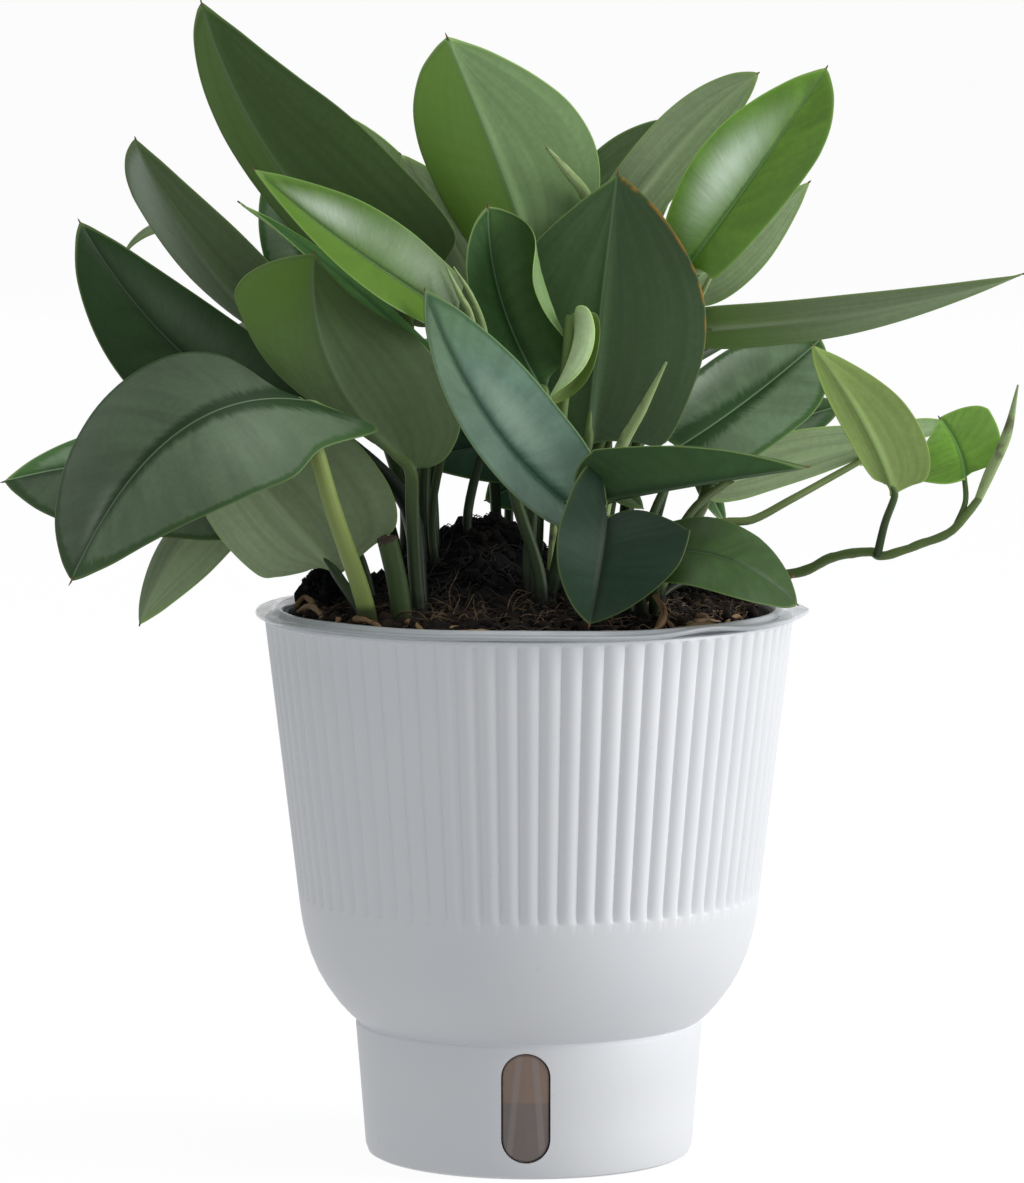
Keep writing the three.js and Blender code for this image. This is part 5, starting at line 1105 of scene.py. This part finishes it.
def blade(leaf, lot):
    """A leaf's two faces and the lip that joins them, with the values its materials read."""
    rows = BLADE_ROWS if max(both(leaf["half"])) > 6 else SMALL_BLADE_ROWS
    reach = np.array([-q for q in ACROSS[:0:-1]] + list(ACROSS))
    t = np.linspace(0, 1, rows + 1)[:, None] + 0 * reach
    s = reach + 0 * t
    frames = blade_frames(leaf)
    size = np.linalg.norm(np.subtract(leaf["tip"], leaf["base"]))
    middle = np.zeros(t.shape + (3,))
    out_mm, edge_mm, along = np.zeros((3,) + t.shape)
    for j, part in ((0, s < 0), (1, s >= 0)):
        half, fold = both(leaf["half"])[j], math.radians(both(leaf.get("fold", 12))[j])
        curl = both(leaf.get("curl", -0.3))[j]
        outline = margin(*(both(leaf.get(key, usual))[j] for key, usual in OUTLINE.items()))
        border = spline(outline, t[part])
        q = np.abs(s[part])
        start = t[part] ** 1.45
        xi = start + (border[:, 0] - start) * q**0.9
        r = border[:, 1] * half * q
        bend = (curl if abs(curl) > 1e-3 else 1e-3) / half
        across = (np.sin(fold + bend * r) - math.sin(fold)) / bend
        rise = (math.cos(fold) - np.cos(fold + bend * r)) / bend
        sway = 0.018 * half * np.sin(2 * math.pi * 1.4 * xi + lot * 5 + 2 * j) * q**2
        place = midrib(leaf, xi) + between(frames[2], xi) * (across if j else -across)[:, None]
        middle[part] = place + between(frames[1], xi) * (rise + sway)[:, None]
        out_mm[part], edge_mm[part], along[part] = r, border[:, 1] * half * (1 - q), xi
    normal = np.cross(np.gradient(middle, axis=1), np.gradient(middle, axis=0))
    normal[0], normal[-1] = normal[1].sum(0), normal[-2].sum(0)
    normal = unit(normal)
    q = np.abs(s)
    taper = np.clip(1 - along, 0, 1)
    relief = VEIN_RELIEF * min(1, max(both(leaf["half"])) / 24) ** 2
    veins = relief * np.sin(2 * math.pi * VEIN_COUNT * t) * 4 * q * (1 - q)
    thick = BLADE_EDGE + BLADE_BODY * (1 - q**2)
    groove = 0.3 * np.exp(-((out_mm / 0.8) ** 2)) * smooth(0, 0.05, taper)
    ridge = (0.2 + 1.0 * taper**1.2) * min(1, size / 60) * np.exp(-((out_mm / 1.15) ** 2)) * smooth(0, 0.08, taper)
    upper = middle + normal * (thick - groove + veins)[..., None]
    under = middle - normal * (thick + ridge - veins)[..., None]
    lip = middle[:, [0, -1]] + BLADE_LIP * unit(middle[:, [0, -1]] - middle[:, [1, -2]])
    points = np.concatenate([upper.reshape(-1, 3), under.reshape(-1, 3), lip.reshape(-1, 3)])
    # Above 0 greener, partly painted light shining through the leaf; sheen patches of positive strength take it below
    # 0, a painted gloss highlight
    glow = both(leaf.get("glow", 0))
    green_and_painted_gloss = np.where(s < 0, glow[0], glow[1]) * (0.75 + 0.25 * q)
    for side, forward, outward, length, width, strength in leaf.get("sheen", ()):
        spot = np.exp(-(((along - forward) / length) ** 2) - ((q - outward) / width) ** 2)
        green_and_painted_gloss = green_and_painted_gloss - strength * spot * ((s >= 0) == (side == 1))
    burn = leaf.get("burn", 0)
    burnt = burn * smooth(0.35, 0.6, along) * (s * burn > 0)
    vein = np.stack([t, s, np.full(t.shape, lot * 17.0)], -1).reshape(-1, 3)
    far = np.stack([out_mm, edge_mm, green_and_painted_gloss], -1).reshape(-1, 3)
    # Brightness of each half, partly the leaf's own tone and partly painted light and shade
    light = both(leaf.get("light", 1))
    level = light[0] + (light[1] - light[0]) * smooth(-0.12, 0.12, s)
    mood = np.stack([along, np.abs(burnt), level], -1).reshape(-1, 3)
    columns = len(reach)
    ends = np.array([[i * columns, i * columns + columns - 1] for i in range(rows + 1)]).ravel()
    values = [np.concatenate([v, v, v[ends]]) for v in (vein, far, mood)]
    up, down = blade_faces(rows, columns)
    return points, up, down, values, frames


def blade_faces(rows, columns):
    """Faces of the upper and of the under side, each with its half of the lip, closed to a point at both ends."""
    count = (rows + 1) * columns
    same = np.arange(2 * count + 2 * (rows + 1))
    for i in (0, rows):
        same[i * columns:(i + 1) * columns] = i * columns
        same[count + i * columns:count + (i + 1) * columns] = i * columns
        same[2 * count + 2 * i:2 * count + 2 * i + 2] = i * columns
    up = grid_faces(rows + 1, columns)
    down = [[k + count for k in face][::-1] for face in up]
    for i in range(rows):
        left, right = i * columns, i * columns + columns - 1
        a, b = 2 * count + 2 * i, 2 * count + 2 * i + 1
        up += [[left, left + columns, a + 2, a], [right, b, b + 2, right + columns]]
        down.append([a, a + 2, left + columns + count, left + count])
        down.append([b, right + count, right + columns + count, b + 2])
    return tidy_faces(up, same), tidy_faces(down, same)


def used_only(points, faces, values):
    """The same faces with the points that none of them touches left out."""
    used = np.unique(np.concatenate([np.array(face) for face in faces]))
    place = {int(k): i for i, k in enumerate(used)}
    return points[used], [[place[int(k)] for k in face] for face in faces], [v[used] for v in values]


def put_leaf(shape, leaf, lot):
    """A blade in its two tones, with the fine dry point at its tip."""
    points, up, down, values, frames = blade(leaf, lot)
    points, faces, values = used_only(points, up + down, values)
    vein, far, mood = values
    upper, under = leaf["tones"].split()
    names = ["leaf_" + upper] * len(up) + ["leaf_" + under] * len(down)
    shape.add(points, faces, names, vein=vein, reach=far, mood=mood)
    tip = np.array(leaf["tip"], float)
    ahead, out = frames[0][-1], frames[1][-1]
    size = 0.07 * max(both(leaf["half"])) ** 0.8
    spike = [tip - ahead * size, tip + ahead * size * 0.4, tip + ahead * size * 1.4 + out * size * 0.25]
    points, faces, values = tube(spike, (0.3, 0.26, 0.06), sides=6, steps=6)
    shape.add(points, faces, "mucro", vein=values)


def put_stalk(shape, leaf, lot):
    """A petiole that tapers from root to blade and runs on as the midrib below it."""
    _, out, _ = blade_frames(leaf)
    root, end = leaf["thick"][0], leaf["thick"][-1]
    base = np.array(leaf["base"], float)
    rising = max(0, unit(base - leaf["stalk"][-1]).dot(out[0]))
    path = [np.array(p, float) for p in leaf["stalk"]] + [base - out[0] * end * (1 + 0.6 * rising)]
    radii = list(np.linspace(root, end, len(path)))
    for share, thin in ((0.07, 0.6), (0.16, 0.28)):
        at = np.array([share])
        path.append(midrib(leaf, at)[0] - between(out, at)[0] * (0.2 + end * thin * 0.8))
        radii.append(end * thin)
    points, faces, values = tube(path, radii)
    # Height out of the painted shade near the peat; a stalk tint below 0 gives it more of that shade
    rise = points[:, 2] - soil_height(points[:, 0], points[:, 1])
    tint = leaf.get("stalk_tint", 0.15)
    low = np.clip(rise / STALK_SHADE_HEIGHT + min(tint, 0), 0, 1)
    far = np.stack([low, 0 * rise, np.full(len(rise), tint)], -1)
    values[:, 2] = lot * 13
    shape.add(points, faces, "stalk", vein=values, reach=far)


# Bare stems: material, how pale they are, and how far they count as out of the painted shade near the peat
# (by height where None)
STEMS = {
    "furled": ("furled", 0.5, None),
    "cut": ("stalk", 0.1, 0.62),
    "runner": ("stalk", 0.2, 0.8),
    "aerial": ("root", 0, 1),
}


def put_stem(shape, kind, path, thick, lot):
    """A bare stem: a furled young leaf, a cut stump, the trailing runner or an aerial root."""
    look, tint, level = STEMS[kind]
    thick = np.multiply(thick, 0.85 if kind == "runner" else 1)
    steps = 8 * (len(path) - 1)
    points, faces, values = tube(path, thick, sides=20, steps=steps, seam=0.3 if kind == "furled" else 0)
    if kind in ("runner", "aerial"):
        bumps = Rough(41, 7, 1.2, 16)
        centre = spline(path, values[:, 0])
        points = centre + (points - centre) * (1 + 0.07 * bumps(points))[:, None]
    # Height out of the painted shade near the peat, or the level given in STEMS
    rise = points[:, 2] - soil_height(points[:, 0], points[:, 1])
    low = np.clip(rise / STALK_SHADE_HEIGHT, 0, 1) if level is None else np.full(len(rise), level)
    far = np.stack([low, 0 * rise, np.full(len(rise), tint)], -1)
    values[:, 2] = lot * 13
    shape.add(points, faces, look, vein=values, reach=far)
    if kind == "cut":
        end = np.array(path[-1], float)
        ahead = unit(end - np.array(path[-2], float))
        cap = [end - ahead * 0.6, end + ahead * 0.2, end + ahead * 0.7]
        points, faces, values = tube(cap, np.multiply((1.02, 1, 0.6), thick[-1]), sides=20, steps=6)
        rag = Rough(51, 4, 0.7, 18)
        shape.add(points + 0.5 * rag(points)[:, None] * ahead, faces, "hair", vein=values)


def crown(shape, place):
    """The short old stem that a shoot's stalks come from, mostly under peat."""
    x, y, radius = place
    ball, faces = sphere(12, 20)
    rough = Rough(int(abs(x * 7 + y * 3)) + 60, 8, 1.5, 20)
    points = ball * (radius * 0.92, radius * 0.92, 4.5)
    points = points * (1 + 0.12 * rough(points))[:, None] + (x, y, soil_height(x, y) - 2.4)
    shape.add(points, faces, "peat")


def foliage(materials):
    """One piece for each shoot: its crown, its leaves on their stalks, and its bare stems."""
    lot = 0
    for name, place, leaves, stems in SHOOTS:
        shape = Shape()
        crown(shape, place)
        for leaf in leaves:
            lot += 1
            put_stalk(shape, leaf, lot * LOT_STEP)
            put_leaf(shape, leaf, lot * LOT_STEP)
        for kind, path, thick in stems:
            lot += 1
            put_stem(shape, kind, path, thick, lot * LOT_STEP)
        slot = "young_foliage" if name in ("bright", "trailing") else "silver_foliage"
        shape.piece("foliage_" + name, "shoot_" + name, slot, materials, sharp=70)


# Stage

def area_light(name, place, size, power, target=(0, 0, 0.16)):
    """White lamp of the given width and height that looks at the target."""
    data = bpy.data.lights.new(name, "AREA")
    data.shape = "RECTANGLE"
    data.size, data.size_y = size
    data.energy = power
    lamp = link(name, data)
    lamp.location = place
    way = np.array(place) - np.array(target)
    flat = math.hypot(way[0], way[1])
    lamp.rotation_euler = (math.atan2(flat, way[2]), 0, math.atan2(way[0], -way[1]))


def stage():
    """White floor that curves up into a low wall all round, soft lights, and the camera."""
    paint = Paint("floor_white", Base_Color=colour(90, 90, 90), Roughness=0.9, Specular_IOR_Level=0.1)
    wall = paint.step(0.4, 1.1, paint.split(paint.place())[2])
    glow = paint.minus(0.92, paint.times(wall, 0.5))
    paint.set(Emission_Color=colour(255, 255, 255), Emission_Strength=glow)
    bend = [(4.2 + 0.8 * math.sin(a), 0.8 - 0.8 * math.cos(a)) for a in np.linspace(0, math.pi / 2, 12)]
    points, faces = ring_surface([(0, 0)] + bend + [(5, 1.3)], 96)
    mesh = bpy.data.meshes.new("floor")
    mesh.from_pydata(points.tolist(), [], [face[::-1] for face in faces])
    mesh.materials.append(paint.material)
    mesh.polygons.foreach_set("use_smooth", [True] * len(mesh.polygons))
    floor = link("floor", mesh)
    floor.visible_diffuse = False
    area_light("key", (2.0, -0.3, 0.7), (1.2, 1.5), 31)
    area_light("top", (0.1, -0.1, 1.7), (1.2, 1.2), 7, target=(0, 0, 0.25))
    world = bpy.context.scene.world or bpy.data.worlds.new("studio")
    bpy.context.scene.world = world
    world.use_nodes = True
    background = world.node_tree.nodes["Background"]
    background.inputs["Color"].default_value = (0.95, 0.97, 1.0, 1)
    background.inputs["Strength"].default_value = 0.45
    data = bpy.data.cameras.new("camera")
    data.sensor_width = SENSOR
    data.lens = FOCAL_PIXELS / IMAGE_HEIGHT * SENSOR
    data.clip_end = 50
    camera = link("camera", data)
    camera.location = CAMERA_PLACE
    camera.rotation_euler = (math.radians(90 - CAMERA_PITCH), 0, 0)
    bpy.context.scene.camera = camera
    bpy.context.scene.view_settings.view_transform = "Standard"


def main():
    materials = {"leaf_" + tone: leaf_material(tone) for tone in TONES}
    materials.update(
        stalk=stalk_material(),
        furled=fibre_material("furled_leaf", (142, 166, 104), (168, 190, 128)),
        mucro=plain_grain("leaf_tip", (120, 84, 44), (84, 58, 34), 0.7),
        pot=pot_material(),
        pane=pane_material(),
        clear=clear_material(),
        black=plain_grain("nursery_black_plastic", (24, 25, 27), (32, 33, 35), 0.5),
        peat=peat_material("peat_dark", (20, 18, 17), (34, 28, 25), (58, 45, 34)),
        loam=peat_material("peat_black", (13, 14, 16), (25, 25, 28), (44, 42, 42)),
        hair=fibre_material("fibre_brown", (46, 35, 27), (70, 53, 38)),
        # Near-black copy of the fibre colours, as painted shade under the crowns
        soot=fibre_material("fibre_painted_shade", (26, 24, 23), (46, 40, 35), knot=(24, 22, 21)),
        straw=fibre_material("fibre_straw", (110, 90, 64), (140, 116, 84)),
        root=fibre_material("root_tan", (120, 92, 60), (162, 130, 88)),
        bark=fibre_material("bark_tan", (130, 102, 70), (186, 156, 114)),
        sliver=fibre_material("bark_green", (128, 128, 84), (160, 156, 108)),
        knob=fibre_material("root_knob", (92, 66, 42), (134, 100, 64)),
    )
    stage()
    for make in (white_pot, sight_pane, clear_liner, nursery_pot, soil_bed, crumbs, fibres, roots, foliage):
        make(materials)


main()
